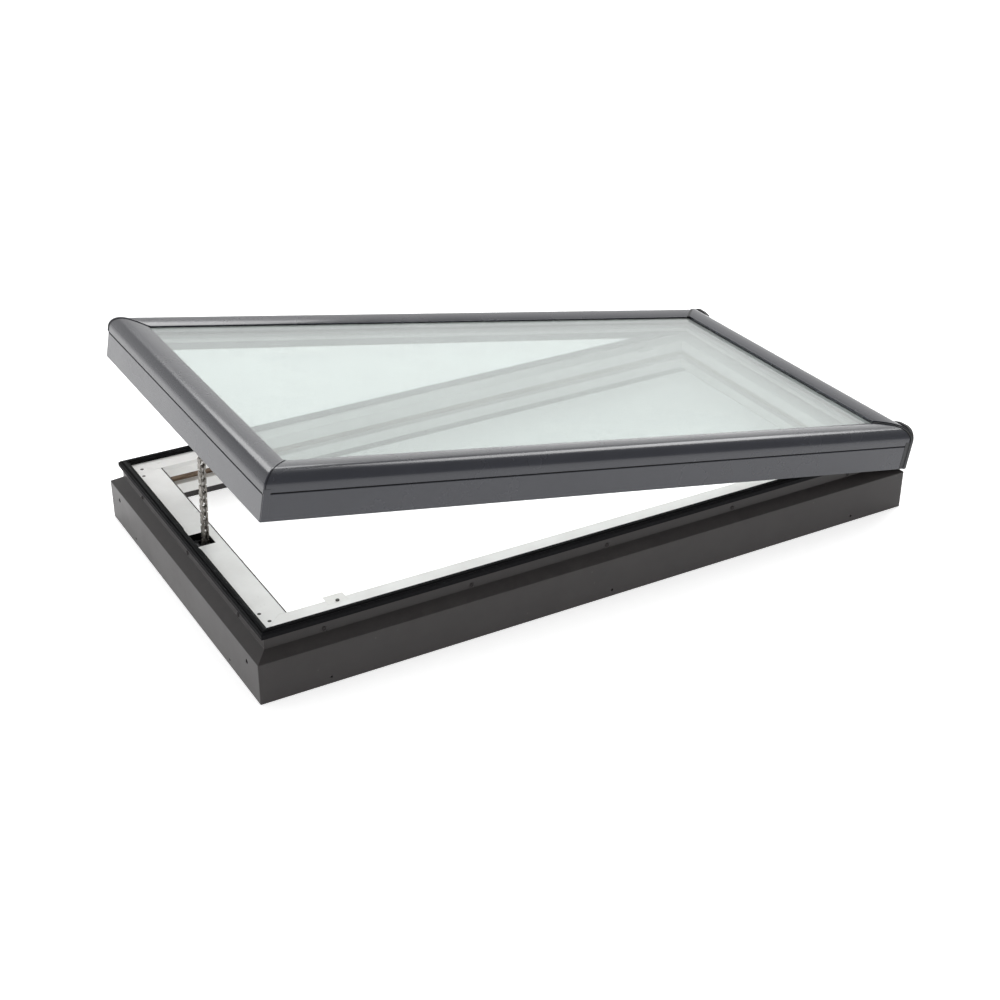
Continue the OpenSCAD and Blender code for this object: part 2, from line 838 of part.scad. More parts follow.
module drive_sprocket() {
    tooth_r = pitch_r + 1.6;
    tooth_half = inner_half - side_clear - tooth_r * sin(abs(run_lean));
    tooth_flank = [[pitch_r - 0.5, bush_r + 0.45], [pitch_r + 1.5, bush_r + 1.8],
        [pitch_r + 6, bush_r + 2.4]];
    color("#6f7276") translate([chain_x, pitch_r, sprocket_z]) rotate([90, 0, 90])
        difference() {
            union() {
                linear_extrude(2 * tooth_half, center = true) difference() {
                    circle(tooth_r);
                    for (i = [0:sprocket_teeth - 1]) rotate(i * wrap) {
                        translate([pitch_r, 0]) circle(bush_r + side_clear);
                        polygon([for (p = tooth_flank) [p.x, -p.y],
                            for (p = reversed(tooth_flank)) p]);
                    }
                }
                cylinder(h = 12.2, r = hub_r, center = true);
            }
            cylinder(h = 20, r = shaft_r + fit, center = true);
        }
}

module drive_shaft() {
    color(STEEL) in_opener() translate([guide_d + 1, pitch_r, sprocket_z])
        rotate([0, 90, 0]) cylinder(h = gear_d + 9 - guide_d, r = shaft_r);
}

// ---------- hinges ----------

// A knuckle round the hinge axis, from x0 to x1 along the side.
module knuckle(x0, x1) {
    translate([x0, hinge_d, hinge_z]) rotate([0, 90, 0]) cylinder(h = x1 - x0, r = barrel_r);
}

module knuckle_bore() {
    translate([0, hinge_d, hinge_z]) rotate([0, 90, 0])
        cylinder(h = hinge_l + 2 * eps, r = hinge_pin_r + fit, center = true);
}

module hinge_frame_leaves() {
    half = centre_knuckle_l / 2;
    color(STEEL) on_side(HINGE) difference() {
        hinge_places() difference() {
            union() {
                block([-hinge_l / 2, slope_run - leaf_t, leaf_foot],
                    [hinge_l / 2, slope_run, leaf_top]);
                block([-half, hinge_d, hinge_z - web_t / 2],
                    [half, slope_run - leaf_t + 0.5, hinge_z + web_t / 2]);
                knuckle(-half, half);
            }
            knuckle_bore();
        }
        hinge_frame_screw_places() hole(shank_r + fit, leaf_t + eps);
    }
}

module hinge_sash_leaves() {
    half = centre_knuckle_l / 2 + side_clear;
    color(STEEL) swung() on_side(HINGE) difference() {
        hinge_places() difference() {
            union() {
                block([-hinge_l / 2, sash_clad_t, hinge_z - 6],
                    [hinge_l / 2, sash_clad_t + leaf_t, sash_under]);
                block([-hinge_l / 2, sash_clad_t, sash_under - leaf_t],
                    [hinge_l / 2, sash_flange_d, sash_under]);
                for (e = [[-hinge_l / 2, -half], [half, hinge_l / 2]]) {
                    block([e[0], sash_clad_t + 1, hinge_z - web_t / 2],
                        [e[1], hinge_d, hinge_z + web_t / 2]);
                    knuckle(e[0], e[1]);
                }
            }
            knuckle_bore();
        }
        hinge_sash_screw_places() hole(sash_shank_r + fit, leaf_t + eps);
    }
}

module hinge_pins() {
    color(STEEL) swung() on_side(HINGE) hinge_places()
        translate([0, hinge_d, hinge_z]) rotate([0, 90, 0])
            cylinder(h = hinge_l, r = hinge_pin_r, center = true);
}

module hinge_sash_screw_places() {
    hinge_places() for (s = [-1, 1])
        translate([s * (hinge_l / 2 - 8), sash_flange_d - 2.5, sash_under - leaf_t])
            rotate([180, 0, 0]) children();
}

// ---------- sash ----------

module sash_rail_section() {
    polygon([[sash_timber_d, sash_under], [sash_timber_d, sash_under + sash_upstand_h],
        [upstand_d, sash_under + sash_upstand_h], [upstand_d, ledge_z], [rail_d, ledge_z],
        [rail_d, sash_under + 2], [rail_d - 2, sash_under]]);
}

SASH_DOWEL_D = 47;

module sash_dowel_places() {
    dowel_places(SASH_DOWEL_D, [sash_under + sash_ledge_t / 2]) children();
}

module skirt_screw_places(side) {
    for (i = screw_steps(side))
        facing_out((i + (side % 2 == 0 ? 0 : 0.35)) * screw_pitch(side),
            sash_timber_d - sash_clad_t, sash_under + 2.9) children();
}

module lug_screw_places() {
    for (s = [-1, 1])
        translate([s * 12, lug_d + 6, sash_under - leaf_t]) rotate([180, 0, 0]) children();
}

module sash_rail(side) {
    color(WHITE) swung() difference() {
        rail(side, rail_d) sash_rail_section();
        on_side(side) {
            skirt_screw_places(side) hole(sash_shank_r + fit, sash_shank_l + fit);
            if (side == HINGE)
                hinge_sash_screw_places() hole(sash_shank_r + fit, sash_shank_l + fit);
            if (side == OPENING)
                lug_screw_places() hole(sash_shank_r + fit, sash_shank_l + fit);
        }
        sash_dowel_places() cylinder(h = 30 + 2 * fit, r = 2.5 + fit, center = true);
    }
}

module sash_rail_near() {
    sash_rail(NEAR);
}

module sash_rail_hinge() {
    sash_rail(HINGE);
}

module sash_rail_far() {
    sash_rail(FAR);
}

module sash_rail_opening() {
    sash_rail(OPENING);
}

module sash_corner_dowels() {
    color("burlywood") swung() sash_dowel_places() cylinder(h = 30, r = 2.5, center = true);
}

// Outer wall, top flange and the short leg that is screwed to the timber.
module sash_skirt_section() {
    leg_d = sash_timber_d - sash_clad_t;
    flange_z = seam_z - sash_clad_t;
    polygon([[0, sash_foot], [0, seam_z], [sash_timber_d, seam_z],
        [sash_timber_d, sash_under + 0.2], [leg_d, sash_under + 0.2], [leg_d, flange_z],
        [sash_clad_t, flange_z], [sash_clad_t, sash_foot]]);
}

module sash_skirt(side) {
    color(GREY) swung() difference() {
        rail(side, sash_timber_d, corner_r = sash_corner_r) sash_skirt_section();
        on_side(side) skirt_screw_places(side) hole(sash_shank_r + fit, sash_clad_t + eps);
    }
}

module sash_skirt_near() {
    sash_skirt(NEAR);
}

module sash_skirt_hinge() {
    sash_skirt(HINGE);
}

module sash_skirt_far() {
    sash_skirt(FAR);
}

module sash_skirt_opening() {
    sash_skirt(OPENING);
}

// The rounded nose: a quarter ellipse up to the crest, then a flat arc down to the glass.
// off moves the line outwards, or inwards when it is negative.
function nose_line(off) = [
    for (i = [0:NOSE_STEPS]) let (a = 90 * i / NOSE_STEPS)
        [crest_d - (crest_d - band_step + off) * cos(a), band_top + (crest_rise + off) * sin(a)],
    for (i = [1:NOSE_STEPS]) let (d = crest_d + fall_run * i / NOSE_STEPS)
        [d, crest_z - fall_r + sqrt(pow(fall_r + off, 2) - pow(d - crest_d, 2))]];

function reversed(v) = [for (i = [len(v) - 1:-1:0]) v[i]];

module nose_section(proud = 0) {
    t = sash_clad_t;
    polygon(concat(
        [[-proud, nose_foot], [-proud, band_top + proud]],
        nose_line(proud),
        reversed(nose_line(-t)),
        [[band_step + t, band_top - t], [t, band_top - t], [t, nose_foot + t],
            [sash_timber_d, nose_foot + t], [sash_timber_d, nose_foot]]));
}

module sash_nose(side) {
    color(GREY) swung()
        rail(side, nose_end_d, cut_back = corner_seal_t / 2, corner_r = sash_corner_r)
            nose_section();
}

module sash_nose_near() {
    sash_nose(NEAR);
}

module sash_nose_hinge() {
    sash_nose(HINGE);
}

module sash_nose_far() {
    sash_nose(FAR);
}

module sash_nose_opening() {
    sash_nose(OPENING);
}

module corner_seals() {
    color(BLACK) swung() for (x = [-1, 1], y = [-1, 1]) intersection() {
        union() for (side = SIDES) rail(side, nose_end_d) nose_section(corner_seal_proud);
        translate([x * (frame_l / 2 - nose_end_d / 2), y * (frame_w / 2 - nose_end_d / 2), crest_z])
            rotate([0, 0, x * y * 45]) cube([2 * nose_end_d, corner_seal_t, 200], center = true);
    }
}

module seam_seals() {
    color(BLACK) swung() for (side = SIDES)
        rail(side, sash_timber_d, cut_back = 1)
            translate([0.8, seam_z]) square([sash_timber_d - 0.8, seam_t]);
}

// ---------- glazing ----------

module pane(z, t) {
    translate([0, 0, z + t / 2])
        cube([frame_l - 2 * glass_d, frame_w - 2 * glass_d, t], center = true);
}

module outer_pane() {
    color("#cfdad6", 0.5) swung() pane(outer_z, outer_pane_t);
}

module inner_pane() {
    color("#cfdad6", 0.5) swung() pane(glass_z, inner_pane_t);
}

module glass_spacer() {
    color("silver") swung()
        ring(glass_d + edge_seal_w, glass_d + edge_seal_w + spacer_w, gap_z, outer_z);
}

module glass_edge_seal() {
    color(BLACK) swung() ring(glass_d, glass_d + edge_seal_w, gap_z, outer_z);
}

module glazing_tape() {
    color(BLACK) swung() ring(glass_d + 2, glass_d + 2 + tape_w, ledge_z, glass_z);
}

// A wedge that fills the space between the glass and the end of the nose.
module glazing_gasket() {
    under = nose_line(-sash_clad_t);
    low = under[len(under) - 1];
    start = under[len(under) - 4];
    color(BLACK) swung() union() for (side = SIDES) rail(side, low.x + 1)
        polygon([[start.x, glass_top], start, under[len(under) - 3], under[len(under) - 2], low,
            [low.x + 1, low.y], [low.x + 1, glass_top]]);
}

module setting_blocks() {
    color("dimgray") swung() for (side = SIDES, s = [-1, 1]) on_side(side)
        translate([s * run(side) / 4, upstand_d + edge_gap / 2, (glass_z + glass_top) / 2])
            cube([80, edge_gap, glass_top - glass_z - 1], center = true);
}

// ---------- chain end on the sash ----------

module chain_lug() {
    half_t = outer_half - 1.3;
    color(STEEL) swung() on_side(OPENING) difference() {
        union() {
            block([-18, lug_d - 8, sash_under - leaf_t], [18, lug_d + 12, sash_under]);
            translate([0, lug_d, lug_z]) rotate([90, 0, 0]) linear_extrude(2 * half_t, center = true) {
                circle(plate_r);
                translate([-plate_r, 0]) square([2 * plate_r, lug_drop - 1]);
            }
        }
        translate([0, lug_d, lug_z]) rotate([90, 0, 0])
            cylinder(h = 20, r = pin_r + lug_play, center = true);
        lug_screw_places() hole(sash_shank_r + fit, leaf_t + eps);
    }
}

module sash_wood_screw() {
    pan_screw(sash_head_r, sash_head_h, sash_shank_r, sash_shank_l);
}

module sash_wood_screws() {
    color(STEEL) swung() {
        for (side = SIDES) on_side(side) skirt_screw_places(side) sash_wood_screw();
        on_side(HINGE) hinge_sash_screw_places() sash_wood_screw();
        on_side(OPENING) lug_screw_places() sash_wood_screw();
    }
}

frame_rail_near();
frame_rail_hinge();
frame_rail_far();
frame_rail_opening();
frame_cladding_near();
frame_cladding_hinge();
frame_cladding_far();
frame_cladding_opening();
frame_gasket();
frame_cladding_screws();
frame_corner_dowels();
curb_seal();
screen_catches();
frame_wood_screws();
opener_case();
opener_end_caps();
opener_lid();
opener_motor();
opener_gearbox();
chain_guide();
control_board();
cable_gland();
hatch_liner();
opener_cover();
cover_seal();
chain_inner_links();
chain_outer_links();
chain_pins();
hinge_frame_leaves();
drive_sprocket();
drive_shaft();
sash_rail_near();
sash_rail_hinge();
sash_rail_far();
sash_rail_opening();
sash_skirt_near();
sash_skirt_hinge();
sash_skirt_far();
sash_skirt_opening();
sash_nose_near();
sash_nose_hinge();
sash_nose_far();
sash_nose_opening();
corner_seals();
seam_seals();
outer_pane();
inner_pane();
glass_spacer();
glass_edge_seal();
glazing_gasket();
glazing_tape();
setting_blocks();
hinge_sash_leaves();
hinge_pins();
chain_lug();
sash_wood_screws();
sash_corner_dowels();
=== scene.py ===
"""Roof skylight with a chain opener: the looks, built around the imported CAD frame.

Sections are drawn in millimetres as (depth in from the skirt's face, height), on
the shut skylight. A sweep runs one along a side, cuts its mitres, turns it to its
side and, on the sash, swings it open about the hinges. Meshes end up in metres.
"""
from __future__ import annotations

import json
import logging
import math
from dataclasses import dataclass, field
from enum import Enum
from typing import Any, Iterable, Sequence

import bmesh
import bpy
from mathutils import Matrix, Vector


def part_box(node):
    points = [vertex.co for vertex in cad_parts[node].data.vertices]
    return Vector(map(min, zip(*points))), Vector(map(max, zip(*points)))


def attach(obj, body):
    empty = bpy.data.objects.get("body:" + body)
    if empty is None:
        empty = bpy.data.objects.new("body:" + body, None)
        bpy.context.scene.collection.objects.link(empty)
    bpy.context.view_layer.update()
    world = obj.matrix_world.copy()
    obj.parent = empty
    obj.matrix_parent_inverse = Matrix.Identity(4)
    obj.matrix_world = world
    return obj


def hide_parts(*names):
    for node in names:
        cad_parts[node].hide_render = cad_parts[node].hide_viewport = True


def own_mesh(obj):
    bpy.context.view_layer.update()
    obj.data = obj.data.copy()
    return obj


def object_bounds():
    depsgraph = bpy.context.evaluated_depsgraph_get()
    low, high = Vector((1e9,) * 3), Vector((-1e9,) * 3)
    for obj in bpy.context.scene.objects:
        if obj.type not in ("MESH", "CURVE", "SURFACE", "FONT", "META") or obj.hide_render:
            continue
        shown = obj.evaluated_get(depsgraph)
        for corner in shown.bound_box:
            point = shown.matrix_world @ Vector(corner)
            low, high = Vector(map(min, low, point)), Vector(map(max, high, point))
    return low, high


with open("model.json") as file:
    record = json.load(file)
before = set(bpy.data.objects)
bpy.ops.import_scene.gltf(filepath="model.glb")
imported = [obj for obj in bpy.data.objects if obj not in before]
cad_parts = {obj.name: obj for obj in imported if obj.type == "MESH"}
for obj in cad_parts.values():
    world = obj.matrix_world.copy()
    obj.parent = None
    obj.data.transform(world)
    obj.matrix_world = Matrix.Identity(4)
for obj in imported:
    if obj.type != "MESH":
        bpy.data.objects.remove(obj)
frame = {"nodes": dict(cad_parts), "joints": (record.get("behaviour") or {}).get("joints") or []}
CAD_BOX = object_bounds()

MM = 0.001
LOG = logging.getLogger("skylight")

BM = bmesh.types.BMesh
Material = bpy.types.Material

# Points that lie closer than this, in millimetres, become one.
SAME_POINT = 1e-3
# Where the facets of a rounded sheet corner face, in degrees from the side's own face.
CORNER_TURNS = (12, 24, 36, 45)
# Turns what stands on z = 0 to face out of a side.
FACING_OUT = Matrix.Rotation(math.pi / 2, 4, "X")
# Turns what stands along Z to lie along X.
ALONG_X = Matrix.Rotation(math.pi / 2, 4, "Y")


class Side(Enum):
    """The four sides, anticlockwise from above, starting with the near long one."""

    NEAR = 0
    HINGE = 1
    FAR = 2
    OPENING = 3

    @property
    def long(self) -> bool:
        """True for the two long sides."""
        return self.value % 2 == 0

    @property
    def word(self) -> str:
        """The side's name as it stands in the CAD nodes' names."""
        return self.name.lower()


class Body(Enum):
    """The CAD bodies a piece can ride on."""

    FRAME = "frame"
    SASH = "sash"
    SPROCKET = "sprocket"


# ---------------------------------------------------------------- plan and placing


@dataclass(frozen=True)
class Plan:
    """The skylight's outer size, its hinge line and how far it stands open."""

    length: float
    width: float
    hinge: Vector
    open_deg: float

    @classmethod
    def from_frame(cls) -> "Plan":
        """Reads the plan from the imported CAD: the cladding's box and the hinge joint.

        Returns:
            The plan, in millimetres and degrees.
        """
        low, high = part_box("frame_cladding_near")
        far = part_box("frame_cladding_far")[1]
        joint = next(j for j in frame["joints"] if j["name"] == "sash_hinge")
        return cls(
            length=(high.x - low.x) / MM,
            width=(far.y - low.y) / MM,
            hinge=Vector(joint["pos_m"]) / MM,
            open_deg=-min(joint["range_deg"]),
        )

    def run(self, side: Side) -> float:
        """Length along a side."""
        return self.length if side.long else self.width

    def reach(self, side: Side) -> float:
        """Distance from a side to the one across from it."""
        return self.width if side.long else self.length

    def at_side(self, side: Side) -> Matrix:
        """Turns (along, depth, height) on a side into the shared frame."""
        turn = Matrix.Rotation(math.radians(90 * side.value), 4, "Z")
        return turn @ Matrix.Translation((0, -self.reach(side) / 2, 0))

    def swung(self) -> Matrix:
        """Swings what is drawn shut about the hinges, to the open rest place."""
        turn = Matrix.Rotation(math.radians(self.open_deg), 4, "Y")
        return Matrix.Translation(self.hinge) @ turn @ Matrix.Translation(-self.hinge)

    def placed(self, side: Side, body: Body) -> Matrix:
        """Where a side's section lies on the given body."""
        place = self.at_side(side)
        return self.swung() @ place if body is Body.SASH else place


@dataclass(frozen=True)
class Corner:
    """One corner of a section: its place, its radius and the steps of its round."""

    d: float
    z: float
    r: float = 0.0
    steps: int = 3


def round_off(bm: BM, geom: Sequence[Any], radius: float, steps: int, affect: str = "EDGES",
              clamp: bool = False) -> None:
    """Rounds edges or corners of a mesh.

    Args:
        bm: The mesh.
        geom: The edges or vertices to round.
        radius: How far each round reaches.
        steps: Steps of each round.
        affect: "EDGES" or "VERTICES".
        clamp: Whether rounds stop short of each other.
    """
    bmesh.ops.bevel(bm, geom=geom, offset=radius, segments=steps, profile=0.5, affect=affect,
                    material=-1, clamp_overlap=clamp)


def taken(bm: BM, name: str) -> bpy.types.Mesh:
    """Turns a bmesh into a mesh.

    Args:
        bm: The bmesh; it is freed.
        name: The mesh's name.

    Returns:
        The mesh.
    """
    mesh = bpy.data.meshes.new(name)
    bm.to_mesh(mesh)
    bm.free()
    return mesh


def linked(name: str, data: Any) -> bpy.types.Object:
    """Puts a mesh, lamp or camera into the scene.

    Args:
        name: The object's name.
        data: What it holds.

    Returns:
        The object.
    """
    obj = bpy.data.objects.new(name, data)
    bpy.context.scene.collection.objects.link(obj)
    return obj


def section(corners: Sequence[Corner]) -> BM:
    """Draws a closed section at x = 0 and rounds its corners.

    Args:
        corners: The corners in order, with the radius of each.

    Returns:
        A bmesh with the one face.
    """
    bm = bmesh.new()
    verts = [bm.verts.new((0, c.d, c.z)) for c in corners]
    bm.faces.new(verts)
    count = len(corners)
    offsets = []
    for i, corner in enumerate(corners):
        here = verts[i].co
        to_last = (verts[i - 1].co - here).normalized()
        to_next = (verts[(i + 1) % count].co - here).normalized()
        offsets.append(corner.r / max(math.tan(to_last.angle(to_next) / 2), 1e-3))
    for corner, vert, offset in zip(corners, verts, offsets):
        if corner.r > 0:
            round_off(bm, [vert], offset, corner.steps, "VERTICES")
    return bm


def thickened(outline: BM, length: float) -> BM:
    """Pushes a section at x = 0 out along X.

    Args:
        outline: The section's face; it becomes the solid's start.
        length: How far it is pushed.

    Returns:
        The solid, from x = 0 to its length.
    """
    grown = bmesh.ops.extrude_face_region(outline, geom=outline.faces[:])
    bmesh.ops.translate(outline, vec=(length, 0, 0),
                        verts=[v for v in grown["geom"] if isinstance(v, bmesh.types.BMVert)])
    return outline


def cut_outside(bm: BM, point: Sequence[float], normal: Sequence[float], fill: bool = True) -> None:
    """Cuts away what lies beyond a plane and closes the cut.

    Args:
        bm: The mesh to cut.
        point: A point of the plane.
        normal: The plane's normal, towards what goes.
        fill: Whether the cut is closed.
    """
    cut = bmesh.ops.bisect_plane(
        bm, geom=bm.verts[:] + bm.edges[:] + bm.faces[:], dist=1e-4,
        plane_co=point, plane_no=normal, clear_outer=True,
    )
    edges = [e for e in cut["geom_cut"] if isinstance(e, bmesh.types.BMEdge)]
    if fill and edges:
        bmesh.ops.holes_fill(bm, edges=edges, sides=0)


def sweep(outline: BM, length: float, cut_back: float = 0.0, corner_r: float = 0.0,
          fill: bool = True) -> BM:
    """Runs a section along a side and mitres both ends.

    Args:
        outline: The section at x = 0; it is used up.
        length: The side's length at depth 0.
        cut_back: How far each mitre stands back from the corner's diagonal.
        corner_r: Radius of the corner seen from above, or 0 where it is sharp.
        fill: Whether the mitred ends are closed.

    Returns:
        The mesh, centred on x = 0.
    """
    spare = 6.0
    half = length / 2
    thickened(outline, length + 2 * spare)
    bmesh.ops.translate(outline, vec=(-half - spare, 0, 0), verts=outline.verts)
    for end in (-1, 1):
        back = cut_back * math.sqrt(2)
        cut_outside(outline, (end * (half - back), 0, 0), (end, 1, 0), fill)
        for angle in CORNER_TURNS if corner_r else ():
            out = Vector((end * math.sin(math.radians(angle)), -math.cos(math.radians(angle)), 0))
            centre = Vector((end * (half - corner_r), corner_r, 0))
            cut_outside(outline, centre + out * corner_r, out, fill)
    return outline


def pour(target: BM, source: BM, place: Matrix | None = None) -> None:
    """Adds one mesh to another.

    Args:
        target: The mesh that grows.
        source: The mesh that is added and freed.
        place: A transform for the added part.
    """
    if place is not None:
        bmesh.ops.transform(source, matrix=place, verts=source.verts)
    mesh = taken(source, "poured")
    target.from_mesh(mesh)
    bpy.data.meshes.remove(mesh)


def repeated(shape: BM, places: Iterable[Matrix]) -> BM:
    """Copies a small shape to several places.

    Args:
        shape: The shape; it is used up.
        places: A transform for each copy.

    Returns:
        One mesh with all the copies.
    """
    mesh = taken(shape, "repeated")
    result = bmesh.new()
    for place in places:
        one = bmesh.new()
        one.from_mesh(mesh)
        pour(result, one, place)
    bpy.data.meshes.remove(mesh)
    return result


def lathe(points: Sequence[tuple[float, float]], steps: int = 24) -> BM:
    """Turns a profile about the Z axis.

    Args:
        points: The profile as (radius, height), from axis to axis.
        steps: Steps of the full turn.

    Returns:
        The turned shape.
    """
    bm = bmesh.new()
    verts = [bm.verts.new((r, 0, z)) for r, z in points]
    edges = [bm.edges.new(pair) for pair in zip(verts, verts[1:])]
    bmesh.ops.spin(
        bm, geom=verts + edges, cent=(0, 0, 0), axis=(0, 0, 1), dvec=(0, 0, 0),
        angle=2 * math.pi, steps=steps, use_merge=True, use_duplicate=False,
    )
    bmesh.ops.remove_doubles(bm, verts=bm.verts, dist=SAME_POINT)
    bmesh.ops.recalc_face_normals(bm, faces=bm.faces)
    return bm


def block(low: Sequence[float], high: Sequence[float], ease: float = 0.0) -> BM:
    """A box between two corners with eased edges.

    Args:
        low: The lowest corner.
        high: The highest corner.
        ease: Radius of its edges.

    Returns:
        The box.
    """
    bm = bmesh.new()
    bmesh.ops.create_cube(bm, size=1)
    size = Vector(high) - Vector(low)
    bmesh.ops.scale(bm, vec=size, verts=bm.verts)
    bmesh.ops.translate(bm, vec=(Vector(high) + Vector(low)) / 2, verts=bm.verts)
    if ease:
        round_off(bm, bm.edges[:], ease, 2)
    return bm


def without(bm: BM, cutter: BM) -> BM:
    """Takes one closed shape out of another.

    Args:
        bm: The shape that is cut; it is used up.
        cutter: What is taken out; it is used up.

    Returns:
        The cut shape.
    """
    pair = []
    for name, source in (("cut_from", bm), ("cut_by", cutter)):
        bmesh.ops.recalc_face_normals(source, faces=source.faces)
        pair.append(linked(name, taken(source, name)))
    cut = pair[0].modifiers.new("cut", "BOOLEAN")
    cut.object, cut.operation, cut.solver = pair[1], "DIFFERENCE", "EXACT"
    result = bmesh.new()
    result.from_object(pair[0], bpy.context.evaluated_depsgraph_get())
    for obj in pair:
        mesh = obj.data
        bpy.data.objects.remove(obj)
        bpy.data.meshes.remove(mesh)
    return result


def cad_copy(node: str) -> BM:
    """A merged copy of a CAD node in millimetres, with flat faces made whole.

    Args:
        node: The CAD node.

    Returns:
        The copy.
    """
    bm = bmesh.new()
    bm.from_mesh(frame["nodes"][node].data)
    bmesh.ops.scale(bm, vec=(1 / MM,) * 3, verts=bm.verts)
    bmesh.ops.remove_doubles(bm, verts=bm.verts, dist=2 * SAME_POINT)
    bmesh.ops.dissolve_limit(
        bm, angle_limit=math.radians(1), use_dissolve_boundaries=False,
        verts=bm.verts, edges=bm.edges, delimit=set(),
    )
    return bm


def ease_edges(bm: BM, radius: float, least: float = 5.0, turned_deg: float = 30.0) -> None:
    """Rounds the long outside edges of a shape.

    Args:
        bm: The shape.
        radius: Radius of the rounding.
        least: Edges shorter than this stay, so small holes keep their shape.
        turned_deg: Edges that turn less than this stay, as they are steps of a round.
    """
    edges = [
        e for e in bm.edges
        if len(e.link_faces) == 2 and e.calc_length() >= least and e.is_convex
        and e.calc_face_angle() > math.radians(turned_deg)
    ]
    if edges:
        round_off(bm, edges, radius, 2, clamp=True)


def add_piece(name: str, bm: BM, body: Body, finish: Material,
              stands_for: Sequence[str] = (), sharp_deg: float = 35.0) -> bpy.types.Object:
    """Makes a finished piece from a mesh in millimetres.

    Args:
        name: The piece's name.
        bm: Its mesh in the shared frame, in millimetres; it is used up.
        body: The CAD body it rides on.
        finish: Its material.
        stands_for: CAD nodes that it replaces.
        sharp_deg: Edges that turn more than this stay sharp.

    Returns:
        The object, at the origin, with its place in its mesh.
    """
    bmesh.ops.remove_doubles(bm, verts=bm.verts, dist=SAME_POINT)
    bmesh.ops.recalc_face_normals(bm, faces=bm.faces)
    bmesh.ops.scale(bm, vec=(MM,) * 3, verts=bm.verts)
    mesh = taken(bm, name)
    mesh.shade_smooth()
    mesh.set_sharp_from_angle(angle=math.radians(sharp_deg))
    mesh.materials.append(finish)
    obj = linked(name, mesh)
    flat = obj.modifiers.new("flat_faces_stay_flat", "WEIGHTED_NORMAL")
    flat.keep_sharp, flat.weight = True, 80
    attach(obj, body.value)
    if stands_for:
        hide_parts(*stands_for)
    LOG.info("%s: %d faces on %s", name, len(mesh.polygons), body.value)
    return obj


# ---------------------------------------------------------------- finishes


def linear(colour: str) -> tuple[float, float, float, float]:
    """Turns an sRGB hex colour into linear RGBA.

    Args:
        colour: Such as "#8a8686".

    Returns:
        Linear red, green, blue and an alpha of 1.
    """
    parts = [int(colour[i:i + 2], 16) / 255 for i in (1, 3, 5)]
    return tuple(
        c / 12.92 if c <= 0.04045 else ((c + 0.055) / 1.055) ** 2.4 for c in parts
    ) + (1.0,)


def add_node(tree: bpy.types.NodeTree, kind: str, settings: dict[str, Any] | None = None,
             inputs: dict[str | int, Any] | None = None) -> bpy.types.Node:
    """Adds a node with its settings and links.

    Args:
        tree: The node tree.
        kind: The node's type, such as "ShaderNodeTexNoise".
        settings: Its properties.
        inputs: A value or a socket to link for each input, by name or number.

    Returns:
        The node.
    """
    node = tree.nodes.new(kind)
    for key, value in (settings or {}).items():
        setattr(node, key, value)
    for key, value in (inputs or {}).items():
        if isinstance(value, bpy.types.NodeSocket):
            tree.links.new(value, node.inputs[key])
        else:
            node.inputs[key].default_value = value
    return node


def per_metre(size_mm: float) -> float:
    """A texture scale that repeats about every size_mm."""
    return 1 / (size_mm * MM)


def start_material(name: str) -> tuple[Material, bpy.types.NodeTree, bpy.types.NodeSocket]:
    """Makes an empty node material.

    Args:
        name: The material's name.

    Returns:
        The material, its tree and the Object coordinates.
    """
    material = bpy.data.materials.new(name)
    material.use_nodes = True
    tree = material.node_tree
    tree.nodes.clear()
    return material, tree, add_node(tree, "ShaderNodeTexCoord").outputs["Object"]


